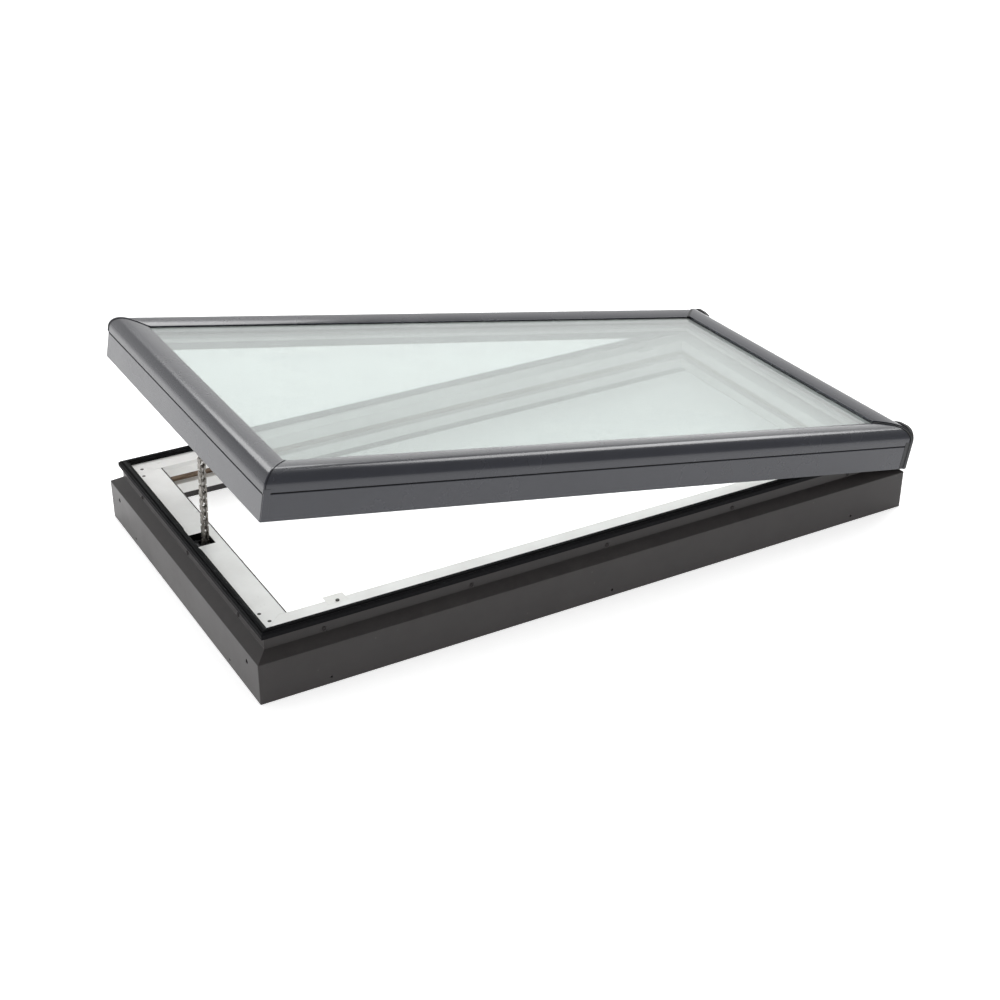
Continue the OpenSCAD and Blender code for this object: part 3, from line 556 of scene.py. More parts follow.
@dataclass(frozen=True)
class Coating:
    """A surface of one colour with the fine unevenness that a real coat has.

    Sizes in millimetres: grain is the fine bump, cloud the slow change of tone.
    """

    name: str
    colour: str
    shade: str
    roughness: float
    metallic: float = 0.0
    grain: float = 1.2
    bump: float = 0.15
    cloud: float = 90.0
    specular: float = 0.5
    dust: str = "#8d8a84"
    dusty: float = 0.12
    spots: float = 0.0
    coat: float = 0.0
    coat_roughness: float = 0.12
    fleck: float = 22.0
    grit: float = 38.0

    def make(self) -> Material:
        """Builds the coating's material: tone, dust on upward faces, sheen and grain.

        Returns:
            The material.
        """
        material, tree, where = start_material(self.name)
        clouds, flecks = (
            add_node(tree, "ShaderNodeTexNoise", {}, {
                "Vector": where, "Scale": per_metre(size), "Detail": 4.0,
                "Roughness": 0.55}).outputs["Fac"] for size in (self.cloud, self.fleck))
        clouded = add_node(tree, "ShaderNodeMapRange", {}, {
            "Value": clouds, "From Min": 0.3, "From Max": 0.7}).outputs[0]
        tone = add_node(tree, "ShaderNodeMix", {"data_type": "RGBA"}, {
            0: clouded, 6: linear(self.colour), 7: linear(self.shade)}).outputs[2]
        normal = add_node(tree, "ShaderNodeNewGeometry").outputs["Normal"]
        up = add_node(tree, "ShaderNodeSeparateXYZ", {}, {0: normal}).outputs["Z"]
        lying = add_node(tree, "ShaderNodeMapRange", {}, {
            "Value": up, "From Min": -0.1, "To Min": 0.25}).outputs[0]
        dusted = add_node(tree, "ShaderNodeMapRange", {}, {
            "Value": flecks, "From Min": 0.3, "From Max": 0.8, "To Max": self.dusty}).outputs[0]
        settled = add_node(tree, "ShaderNodeMath", {"operation": "MULTIPLY"}, {
            0: lying, 1: dusted}).outputs[0]
        tone = add_node(tree, "ShaderNodeMix", {"data_type": "RGBA"}, {
            0: settled, 6: tone, 7: linear(self.dust)}).outputs[2]
        if self.spots:
            grit = add_node(tree, "ShaderNodeTexVoronoi", {"feature": "F1"}, {
                "Vector": where, "Scale": per_metre(self.grit)}).outputs["Distance"]
            marks = add_node(tree, "ShaderNodeMapRange", {}, {
                "Value": grit, "From Max": 0.05, "To Min": self.spots, "To Max": 0.0}).outputs[0]
            tone = add_node(tree, "ShaderNodeMix", {"data_type": "RGBA"}, {
                0: marks, 6: tone, 7: linear(self.dust)}).outputs[2]
        fine = add_node(tree, "ShaderNodeTexNoise", {}, {
            "Vector": where, "Scale": per_metre(self.grain), "Detail": 2.0}).outputs["Fac"]
        bump = add_node(tree, "ShaderNodeBump", {}, {
            "Strength": self.bump, "Distance": 0.2 * MM, "Height": fine}).outputs[0]
        worn = add_node(tree, "ShaderNodeMapRange", {}, {
            "Value": clouds, "From Min": 0.3, "From Max": 0.7,
            "To Min": self.roughness - 0.04, "To Max": self.roughness + 0.05}).outputs[0]
        dulled = add_node(tree, "ShaderNodeMapRange", {}, {
            "Value": flecks, "From Min": 0.3, "From Max": 0.8, "To Max": self.dusty * 0.6})
        sheen = add_node(tree, "ShaderNodeMath", {"operation": "ADD"}, {
            0: worn, 1: dulled.outputs[0]}).outputs[0]
        shader = add_node(tree, "ShaderNodeBsdfPrincipled", {}, {
            "Base Color": tone, "Roughness": sheen, "Normal": bump,
            "Metallic": self.metallic, "Specular IOR Level": self.specular,
            "Coat Weight": self.coat, "Coat Roughness": self.coat_roughness,
        })
        add_node(tree, "ShaderNodeOutputMaterial", {}, {"Surface": shader.outputs[0]})
        return material


@dataclass(frozen=True)
class PaintedPine:
    """Planed pine under two coats of white acrylic paint, bare in the lining groove."""

    name: str = "white_painted_pine"
    white: str = "#efeeec"
    worn: str = "#dddbd8"
    smudge: str = "#aaa49a"
    bare: str = "#8a7663"
    late_wood: str = "#5b4636"
    groove: tuple[float, float] = (20.3, 37.7)
    bare_below: bool = True

    def make(self) -> Material:
        """Builds the paint over the grain, with the groove's bare wood by its height.

        Returns:
            The material.
        """
        material, tree, where = start_material(self.name)
        # Growth rings show as lines 3 mm apart that run along each rail.
        grain_at = add_node(tree, "ShaderNodeMapping", {}, {
            "Vector": where, "Scale": (0.08, 0.08, 1.0)}).outputs[0]
        grain, clouds, smudges = (
            add_node(tree, "ShaderNodeTexNoise", {}, {
                "Vector": at, "Scale": per_metre(size), "Detail": detail,
                "Roughness": rough}).outputs["Fac"]
            for at, size, detail, rough in (
                (grain_at, 3.0, 5.0, 0.6), (where, 70.0, 4.0, 0.6), (where, 24.0, 6.0, 0.7)))
        clouded = add_node(tree, "ShaderNodeMapRange", {}, {
            "Value": clouds, "From Min": 0.35, "From Max": 0.7, "To Max": 0.5}).outputs[0]
        tone = add_node(tree, "ShaderNodeMix", {"data_type": "RGBA"}, {
            0: clouded, 6: linear(self.white), 7: linear(self.worn)}).outputs[2]
        smudged = add_node(tree, "ShaderNodeMapRange", {}, {
            "Value": smudges, "From Min": 0.64, "From Max": 0.76, "To Max": 0.5}).outputs[0]
        tone = add_node(tree, "ShaderNodeMix", {"data_type": "RGBA"}, {
            0: smudged, 6: tone, 7: linear(self.smudge)}).outputs[2]
        if self.bare_below:
            height = add_node(tree, "ShaderNodeSeparateXYZ", {}, {0: where}).outputs["Z"]
            low, high = (z * MM for z in self.groove)
            edge = 0.4 * MM
            above = add_node(tree, "ShaderNodeMapRange", {}, {
                "Value": height, "From Min": low, "From Max": low + edge}).outputs[0]
            below = add_node(tree, "ShaderNodeMapRange", {}, {
                "Value": height, "From Min": high, "From Max": high + edge,
                "To Min": 1.0, "To Max": 0.0}).outputs[0]
            bare = add_node(tree, "ShaderNodeMath", {"operation": "MULTIPLY"}, {
                0: above, 1: below}).outputs[0]
            ringed = add_node(tree, "ShaderNodeMapRange", {}, {
                "Value": grain, "From Min": 0.4, "From Max": 0.62}).outputs[0]
            wood = add_node(tree, "ShaderNodeMix", {"data_type": "RGBA"}, {
                0: ringed, 6: linear(self.bare), 7: linear(self.late_wood)}).outputs[2]
            tone = add_node(tree, "ShaderNodeMix", {"data_type": "RGBA"}, {
                0: bare, 6: tone, 7: wood}).outputs[2]
        bump = add_node(tree, "ShaderNodeBump", {}, {
            "Strength": 0.25, "Distance": 0.3 * MM, "Height": grain}).outputs[0]
        sheen = add_node(tree, "ShaderNodeMapRange", {}, {
            "Value": clouds, "From Min": 0.3, "From Max": 0.7,
            "To Min": 0.42, "To Max": 0.56}).outputs[0]
        shader = add_node(tree, "ShaderNodeBsdfPrincipled", {}, {
            "Base Color": tone, "Normal": bump, "Specular IOR Level": 0.4, "Roughness": sheen})
        add_node(tree, "ShaderNodeOutputMaterial", {}, {"Surface": shader.outputs[0]})
        return material


@dataclass(frozen=True)
class FloatGlass:
    """Clear float glass with a faint green cast and a thin film of dust."""

    name: str = "float_glass"
    tint: str = "#e0e6e4"
    lit_tint: str = "#fdfefe"
    film: str = "#dfe4e2"
    veil: float = 0.04
    cloud: float = 160.0

    def make(self) -> Material:
        """Builds the glass; lamps shine through it, so that the room side is lit.

        Returns:
            The material.
        """
        material, tree, where = start_material(self.name)
        clouds = add_node(tree, "ShaderNodeTexNoise", {}, {
            "Vector": where, "Scale": per_metre(self.cloud), "Detail": 4.0,
            "Roughness": 0.6}).outputs["Fac"]
        share = add_node(tree, "ShaderNodeMapRange", {}, {
            "Value": clouds, "From Min": 0.3, "From Max": 0.7,
            "To Min": self.veil * 0.7, "To Max": self.veil}).outputs[0]
        glass = add_node(tree, "ShaderNodeBsdfPrincipled", {}, {
            "Base Color": linear(self.tint), "Roughness": 0.0, "IOR": 1.5,
            "Transmission Weight": 1.0,
        })
        dust = add_node(tree, "ShaderNodeBsdfPrincipled", {}, {
            "Base Color": linear(self.film), "Roughness": 0.6,
        })
        dusty = add_node(tree, "ShaderNodeMixShader", {}, {
            0: share, 1: glass.outputs[0], 2: dust.outputs[0]})
        path = add_node(tree, "ShaderNodeLightPath")
        lit = add_node(tree, "ShaderNodeMath", {"operation": "MAXIMUM"}, {
            0: path.outputs["Is Shadow Ray"], 1: path.outputs["Is Diffuse Ray"]})
        clear = add_node(tree, "ShaderNodeBsdfTransparent", {}, {"Color": linear(self.lit_tint)})
        both = add_node(tree, "ShaderNodeMixShader", {}, {
            0: lit.outputs[0], 1: dusty.outputs[0], 2: clear.outputs[0]})
        add_node(tree, "ShaderNodeOutputMaterial", {}, {"Surface": both.outputs[0]})
        return material


class Finishes:
    """Every finish on the skylight, each made once."""

    def __init__(self) -> None:
        """Makes the materials."""
        # Polyester powder on folded aluminium: satin, with a fine orange-peel grain.
        self.frame_paint = Coating(
            "satin_polyester_on_aluminium", "#322f2f", "#373434", 0.36,
            grain=1.6, bump=0.05, dusty=0.04, spots=0.15, specular=0.3).make()
        # The sash is coated in the same paint, smoother and a little bluer; the
        # lacquer over it draws the bright line along the crest of each nose.
        self.sash_paint = Coating(
            "smooth_polyester_on_aluminium", "#272932", "#2b2d36", 0.25,
            grain=2.2, bump=0.006, dusty=0.004, coat=0.4).make()
        self.white_timber = PaintedPine().make()
        self.white_sash = PaintedPine("white_lacquered_pine", bare_below=False).make()
        # White polyester on the steel cover: smoother and colder than the timber.
        self.white_cover = Coating(
            "white_polyester_on_steel", "#e2e3e1", "#d8d9d6", 0.4, grain=1.4, bump=0.08).make()
        # EPDM: black, dull, with the bloom that rubber gets from handling.
        self.rubber = Coating(
            "extruded_epdm_rubber", "#060609", "#0b0b0e", 0.7, grain=0.8, bump=0.25,
            cloud=30.0, dust="#2c2b2a", dusty=0.04, specular=0.15).make()
        # Cross-linked foam: open matt cells that break the light.
        self.foam = Coating(
            "closed_cell_foam", "#2c2d2e", "#38393a", 0.85, grain=0.9, bump=0.6).make()
        # Bright zinc: cool grey crystals, a little clouded.
        self.zinc = Coating(
            "zinc_plated_steel", "#b4b6b8", "#8e9193", 0.32, metallic=1.0, grain=1.0,
            bump=0.15, cloud=9.0, dusty=0.1).make()
        # Black zinc on the screws sunk in the timber: dark, with a dull metal edge.
        self.black_zinc = Coating(
            "black_zinc_screw", "#4a4846", "#3a3836", 0.45, metallic=0.8, grain=0.8,
            cloud=5.0).make()
        # White enamel baked on the screen's pressed steel catches.
        self.enamel = Coating(
            "white_enamel_on_steel", "#f0efec", "#e8e6e2", 0.45, grain=1.4, bump=0.05).make()
        # Stamped chain steel under a film of grease: warm, with darker patches.
        self.chain_steel = Coating(
            "greased_chain_steel", "#a5a19c", "#69655f", 0.34, metallic=1.0, grain=0.8,
            bump=0.2, cloud=6.0, dust="#3d3833", dusty=0.3).make()
        # Hardened and ground steel for the sprocket and its shaft.
        self.ground_steel = Coating(
            "ground_steel", "#8b8d8f", "#74767a", 0.28, metallic=1.0, grain=0.6,
            cloud=7.0).make()
        # Rolled aluminium as it leaves the mill: soft bright streaks.
        self.mill_aluminium = Coating(
            "mill_finish_aluminium", "#c2c4c4", "#a9abab", 0.38, metallic=1.0, grain=0.7,
            cloud=18.0, dusty=0.06).make()
        # Glass-filled nylon: dark, with the dull skin of the mould.
        self.nylon = Coating(
            "moulded_black_nylon", "#2a2b2d", "#343537", 0.5, grain=0.9, bump=0.3,
            cloud=25.0).make()
        # Glass-epoxy board under green solder resist.
        self.board = Coating(
            "green_solder_resist", "#1d4a2c", "#28583a", 0.35, grain=2.0, bump=0.3,
            cloud=5.0, dusty=0.05).make()
        # Turned beech: pale and slightly banded.
        self.beech = Coating(
            "turned_beech", "#b38f62", "#9a7448", 0.6, grain=1.0, bump=0.3, cloud=4.0).make()
        # Butyl: black and tacky, so nearly without gloss.
        self.butyl = Coating(
            "black_butyl_seal", "#15161a", "#202125", 0.7, grain=1.5, bump=0.3).make()
        # Painted shadow: a dark strip along the cover's top edge, coloured as the shadow gap
        # between the cover and the timber.
        self.shadow_gap_finish = Coating(
            "painted_shadow_gap_strip", "#4a4545", "#3a3634", 0.8, grain=0.7, bump=0.6).make()
        self.outer_glass = FloatGlass("dusty_float_glass", veil=0.2).make()
        self.inner_glass = FloatGlass().make()


# ---------------------------------------------------------------- outer shell


@dataclass
class FrameCladding:
    """Folded aluminium round the frame: skirt, sloped shoulder and upright wall."""

    plan: Plan
    finishes: Finishes
    sheet: float = 1.2
    foot: float = -47.0
    skirt_top: float = 26.0
    shoulder: float = 20.0
    wall_foot: float = 39.0
    wall_top: float = 62.0
    bend_r: float = 1.6
    corner_r: float = 2.5
    fix_hole_r: float = 2.25
    fix_z: float = -35.0
    fix_long: tuple[float, ...] = (-530.0, 0.0, 530.0)
    fix_short: tuple[float, ...] = (-223.0, 223.0)
    lift_r: float = 4.0
    lift_z: float = 7.0
    lift_x: float = 300.0
    sleeve_l: float = 7.0
    sleeve_t: float = 0.8

    def outline(self) -> BM:
        """Draws the folded sheet with its bends rounded.

        Returns:
            The section.
        """
        t = self.sheet
        k = (self.wall_foot - self.skirt_top) / self.shoulder
        drop = t * math.sqrt(1 + k * k)
        inner = self.shoulder + t
        return section([
            Corner(0, self.foot, 0.3, 1), Corner(0, self.skirt_top, self.bend_r, 4),
            Corner(self.shoulder, self.wall_foot, self.bend_r, 4),
            Corner(self.shoulder, self.wall_top, 0.3, 1), Corner(inner, self.wall_top),
            Corner(inner, self.skirt_top + k * inner - drop),
            Corner(t, self.skirt_top + k * t - drop), Corner(t, self.foot),
        ])

    def spots(self, side: Side) -> list[tuple[float, float, float]]:
        """Lists a side's holes: for fixing, and on the short sides for lifting.

        Args:
            side: The side.

        Returns:
            Each hole as (along, height, radius).
        """
        spots = [(x, self.fix_z, self.fix_hole_r)
                 for x in (self.fix_long if side.long else self.fix_short)]
        if not side.long:
            spots += [(s * self.lift_x, self.lift_z, self.lift_r) for s in (-1, 1)]
        return spots

    def holes(self, side: Side) -> BM:
        """Fills a side's drilled holes with pins, which cut them.

        Args:
            side: The side.

        Returns:
            The pins.
        """
        pins = bmesh.new()
        for x, z, r in self.spots(side):
            pin = bmesh.new()
            bmesh.ops.create_cone(pin, cap_ends=True, segments=24, radius1=r, radius2=r, depth=8)
            pour(pins, pin, Matrix.Translation((x, 0, z)) @ FACING_OUT)
        return pins

    def sleeves(self) -> BM:
        """Sets dark open sleeves behind the holes, so that the holes show dark inside: painted
        shade.

        Returns:
            The sleeves of all four sides.
        """
        back, wall = self.sheet + self.sleeve_l, self.sleeve_t
        tubes = bmesh.new()
        for side in Side:
            for x, z, r in self.spots(side):
                tube = lathe([(r, -back), (r + wall, -back), (r + wall, -self.sheet),
                              (r, -self.sheet), (r, -back)])
                place = self.plan.placed(side, Body.FRAME) @ Matrix.Translation((x, 0, z))
                pour(tubes, tube, place @ FACING_OUT)
        return tubes

    def build(self) -> None:
        """Builds the four sides and the sleeves."""
        # Painted shade: the dark sleeves hide the lit floor behind the holes, so the holes read
        # dark.
        add_piece("hole_shade_sleeves", self.sleeves(), Body.FRAME,
                  self.finishes.nylon)
        for side in Side:
            sheet = sweep(self.outline(), self.plan.run(side), corner_r=self.corner_r)
            sheet = without(sheet, self.holes(side))
            bmesh.ops.transform(
                sheet, matrix=self.plan.placed(side, Body.FRAME), verts=sheet.verts)
            node = f"frame_cladding_{side.word}"
            add_piece(f"folded_{node}", sheet, Body.FRAME,
                      self.finishes.frame_paint, [node], sharp_deg=28)


@dataclass
class FrameGasket:
    """The extruded rubber seal on the frame: flange, hollow bulb and two fins."""

    plan: Plan
    finishes: Finishes
    out_d: float = 14.5
    in_d: float = 31.0
    foot: float = 59.5
    wall_d: float = 20.0
    wall_t: float = 1.2
    wall_top: float = 62.0
    timber_top: float = 63.0
    flange_top: float = 68.5
    bulb_d: float = 24.2
    bulb_z: float = 68.0
    bulb_r: float = 4.5
    relief: float = 2.0
    relief_half: float = 34.0
    relief_ease: float = 8.0
    fin_t: float = 1.0
    out_fin_h: float = 1.2
    in_fin_h: float = 0.9

    def flange(self) -> BM:
        """Draws the flange that hooks over the wall, with a fin outside and one inside.

        Returns:
            The section.
        """
        top, lip = self.flange_top, self.wall_d + self.wall_t
        out_fin, in_fin = self.out_d + 2.6, self.in_d - 2.2
        return section([
            Corner(self.out_d, self.foot, 0.4, 2), Corner(self.out_d, top - 1.4, 0.9, 3),
            Corner(self.out_d + 2.0, top - 0.2, 0.4, 2),
            Corner(out_fin, top + self.out_fin_h, 0.4, 2),
            Corner(out_fin + self.fin_t, top + self.out_fin_h, 0.4, 2),
            Corner(self.out_d + 4.2, top - 0.6, 0.4, 2),
            Corner(self.in_d - 3.2, top - 0.6, 0.4, 2),
            Corner(in_fin, top + self.in_fin_h, 0.4, 2),
            Corner(in_fin + self.fin_t, top + self.in_fin_h, 0.4, 2),
            Corner(self.in_d, top - 0.8, 0.7, 3),
            Corner(self.in_d, self.timber_top, 0.2, 1), Corner(lip, self.timber_top),
            Corner(lip, self.wall_top), Corner(self.wall_d, self.wall_top),
            Corner(self.wall_d, self.foot),
        ])

    def bulb(self) -> BM:
        """Draws the bulb's round as one face.

        Returns:
            The section.
        """
        bm = bmesh.new()
        bmesh.ops.create_circle(bm, cap_ends=True, segments=20, radius=self.bulb_r)
        place = Matrix.Translation((0, self.bulb_d, self.bulb_z)) @ ALONG_X
        bmesh.ops.transform(bm, matrix=place, verts=bm.verts)
        return bm

    def make_room(self, strip: BM) -> None:
        """Draws the flange's inner edge back beside the chain's hatch.

        Args:
            strip: The opening side's flange, centred on the hatch.
        """
        half, ease = self.relief_half, self.relief_ease
        for x in (-half - ease, -half, half, half + ease):
            bmesh.ops.bisect_plane(strip, geom=strip.verts[:] + strip.edges[:] + strip.faces[:],
                                   plane_co=(x, 0, 0), plane_no=(1, 0, 0))
        near = [v for v in strip.verts if abs(v.co.x) < half + 0.1 and v.co.y > self.in_d - 4]
        bmesh.ops.translate(strip, vec=(0, -self.relief, 0), verts=near)

    def build(self) -> None:
        """Builds the seal in one ring, joined at its mitres."""
        ring = bmesh.new()
        for draw in (self.flange, self.bulb):
            for side in Side:
                strip = sweep(draw(), self.plan.run(side), fill=False)
                if side is Side.OPENING and draw == self.flange:
                    self.make_room(strip)
                pour(ring, strip, self.plan.placed(side, Body.FRAME))
        add_piece("frame_seal", ring, Body.FRAME, self.finishes.rubber,
                  ["frame_gasket"], sharp_deg=40)


@dataclass
class SashCladding:
    """The sash's aluminium: lower skirts, rounded noses and the seals between them."""

    plan: Plan
    finishes: Finishes
    sheet: float = 1.6
    foot: float = 35.0
    seam: float = 80.0
    seam_t: float = 1.6
    leg_d: float = 9.0
    leg_z: float = 73.0
    crest_z: float = 113.0
    crest_d: float = 24.0
    end_d: float = 53.0
    end_z: float = 108.5
    corner_r: float = 3.0
    seal_t: float = 4.6
    seal_proud: float = 0.3
    rim_t: float = 3.2
    rim_proud: float = 1.1
    strip_w: float = 12.0
    strip_proud: float = 0.5
    strip_top: float = 88.5
    hinge_proud: float = 3.0
    cap_back: float = 2.5
    cap_out: float = 3.8
    cap_proud: float = 1.6
    cap_slope: float = 12.0
    cap_rise: float = 3.2
    cap_lip: float = 3.0

    def skirt(self, proud: float = 0.0) -> BM:
        """The lower skirt: outer wall, top flange and the leg screwed to the timber.

        Args:
            proud: How far its wall stands out.

        Returns:
            The section.
        """
        t = self.sheet
        return section([
            Corner(-proud, self.foot, 0.6, 2), Corner(-proud, self.seam, 1.4, 4),
            Corner(self.leg_d, self.seam, 0.4, 1), Corner(self.leg_d, self.leg_z),
            Corner(self.leg_d - t, self.leg_z), Corner(self.leg_d - t, self.seam - t),
            Corner(t, self.seam - t), Corner(t, self.foot, 0.6, 2),
        ])

    def nose(self, proud: float = 0.0) -> BM:
        """The rounded nose: upright band, quarter round to the crest and fall to the glass.

        Args:
            proud: How far the outer line stands out.

        Returns:
            The section.
        """
        t = self.sheet
        foot = self.seam + self.seam_t
        reach, fall = self.end_d - self.crest_d, self.crest_z - self.end_z
        arc_r = (reach * reach + fall * fall) / (2 * fall)
        knee = self.crest_d + arc_r * math.tan(math.asin(reach / arc_r) / 2)
        p = proud
        return section([
            Corner(-p, foot, 0.9, 3),
            Corner(-p, self.crest_z + p, self.crest_d - 0.4, 20),
            Corner(knee, self.crest_z + p, arc_r * 0.97, 12),
            Corner(self.end_d, self.end_z + p, 0.5, 2),
            Corner(self.end_d, self.end_z - t),
            Corner(knee, self.crest_z - t, arc_r * 0.9, 8),
            Corner(t, self.crest_z - t, self.crest_d - 2.0, 10),
            Corner(t, foot + t), Corner(self.leg_d, foot + t), Corner(self.leg_d, foot),
        ])

    def corner_slice(self, side: Side, end: int, width: float, proud: float) -> BM:
        """Half of one corner's joint: the end slice of the nose's section.

        Args:
            side: The side.
            end: Which of its ends, 1 or -1.
            width: The whole joint's width across the mitre.
            proud: How far it stands out of the nose.

        Returns:
            The slice.
        """
        strip = sweep(self.nose(proud), self.plan.run(side))
        half = self.plan.run(side) / 2
        back = width / 2 * math.sqrt(2)
        cut_outside(strip, (end * (half - back), 0, 0), (-end, -1, 0))
        return strip

    def corner_strip(self, side: Side, end: int) -> BM:
        """Makes the upright strip that closes the seam at a long side's end.

        Args:
            side: The side.
            end: Which of its ends, 1 or -1.

        Returns:
            The strip.
        """
        half = self.plan.run(side) / 2
        x = sorted((end * (half - self.strip_w), end * (half - 1.0)))
        return block((x[0], -self.strip_proud, self.foot + 0.3),
                     (x[1], self.sheet, self.strip_top), 0.35)

    def end_cap(self, side: Side, end: int) -> BM:
        """Makes the dark plate that closes a long side's hinge end, proud all round.

        Args:
            side: The side.
            end: Which of its ends, 1 or -1.

        Returns:
            The plate.
        """
        p, half = self.cap_proud, self.plan.run(side) / 2
        cap = section([
            Corner(-p, self.foot, 0.8, 3), Corner(-p, self.crest_z + p, self.crest_d, 20),
            Corner(self.end_d - self.cap_slope, self.end_z + self.cap_rise + p, 20.0, 6),
            Corner(self.end_d, self.end_z + p, 0.8, 2),
            Corner(self.end_d, self.end_z - self.cap_lip),
            Corner(self.leg_d, self.seam, 6.0, 4), Corner(self.leg_d, self.foot, 0.8, 2),
        ])
        thickened(cap, self.cap_back + self.cap_out)
        ease_edges(cap, 0.8, 0.2)
        low = half - self.cap_back if end > 0 else -half - self.cap_out
        bmesh.ops.translate(cap, vec=(low, 0, 0), verts=cap.verts)
        return cap

    def build(self) -> None:
        """Builds the skirts, noses, corner seals and corner pieces."""
        seals, opening_corners, hinge_corners = bmesh.new(), bmesh.new(), bmesh.new()
        for side in Side:
            place = self.plan.placed(side, Body.SASH)
            run = self.plan.run(side)
            hinged = side is Side.HINGE
            proud, corner_r = (self.hinge_proud, 0.0) if hinged else (0.0, self.corner_r)
            for part, outline, back, what in (
                ("sash_skirt", self.skirt(proud), 0.0, "folded"),
                ("sash_nose", self.nose(proud), self.seal_t / 2, "rounded"),
            ):
                strip = sweep(outline, run, back, corner_r)
                for end in (-1, 1) if hinged else ():
                    cut_outside(strip, (end * (run / 2 - self.sheet), 0, 0), (end, 0, 0))
                bmesh.ops.transform(strip, matrix=place, verts=strip.verts)
                node = f"{part}_{side.word}"
                add_piece(f"{what}_{node}", strip, Body.SASH,
                          self.finishes.sash_paint, [node], sharp_deg=28)
            for end in (-1, 1):
                at_hinge = hinged or (side.long and (end > 0) is (side is Side.NEAR))
                corners = hinge_corners if at_hinge else opening_corners
                pour(seals, self.corner_slice(side, end, self.seal_t, self.seal_proud), place)
                pour(corners, self.corner_slice(side, end, self.rim_t, self.rim_proud), place)
                if side.long:
                    pour(corners, self.corner_strip(side, end), place)
                if side.long and at_hinge:
                    pour(corners, self.end_cap(side, end), place)
        add_piece("sash_corner_seals", seals, Body.SASH, self.finishes.rubber,
                  ["corner_seals"])
        add_piece("opening_corner_pieces", opening_corners, Body.SASH,
                  self.finishes.sash_paint)
        # The hinge-end corner pieces and their end caps take the dark nylon, so that corner comes
        # out darker than the opening end's pieces in the sash paint.
        add_piece("hinge_corner_pieces", hinge_corners, Body.SASH,
                  self.finishes.nylon)


# ---------------------------------------------------------------- fasteners


@dataclass
class Screws:
    """Pan-head screws that hold the cladding to the frame's timber."""

    plan: Plan
    finishes: Finishes
    head_r: float = 4.0
    head_h: float = 2.4
    wall_d: float = 20.0
    z: float = 44.5
    long_x: tuple[float, ...] = (-530.0, -265.0, 0.0, 265.0, 530.0)
    short_x: tuple[float, ...] = (-223.0, 0.0, 223.0)

    def head(self, radius: float, height: float) -> BM:
        """One domed head on a washer face, with a cross recess and a short shank.

        Args:
            radius: The head's radius.
            height: How far it stands out.

        Returns:
            The head, standing on z = 0.
        """
        dome = lathe([
            (0, -height), (radius * 0.42, -height), (radius * 0.42, 0), (radius, 0),
            (radius, height * 0.22), (radius * 0.93, height * 0.5), (radius * 0.72, height * 0.82),
            (radius * 0.4, height * 0.97), (0, height),
        ])
        arm, slot, deep = radius * 0.52, radius * 0.13, height * 0.45
        for x, y in ((arm, slot), (slot, arm)):
            dome = without(dome, block((-x, -y, deep), (x, y, height + 1)))
        return dome

    def build(self) -> None:
        """Places the cladding screws, each turned by its own small angle."""
        places = []
        for side in Side:
            for i, x in enumerate(self.long_x if side.long else self.short_x):
                turn = Matrix.Rotation(math.radians(23 + 37 * i + 11 * side.value), 4, "Z")
                stand = Matrix.Translation((x, self.wall_d, self.z)) @ FACING_OUT
                places.append(self.plan.placed(side, Body.FRAME) @ stand @ turn)
        screws = repeated(self.head(self.head_r, self.head_h), places)
        add_piece("cladding_pan_screws", screws, Body.FRAME,
                  self.finishes.frame_paint, ["frame_cladding_screws"], sharp_deg=30)


# ---------------------------------------------------------------- chain


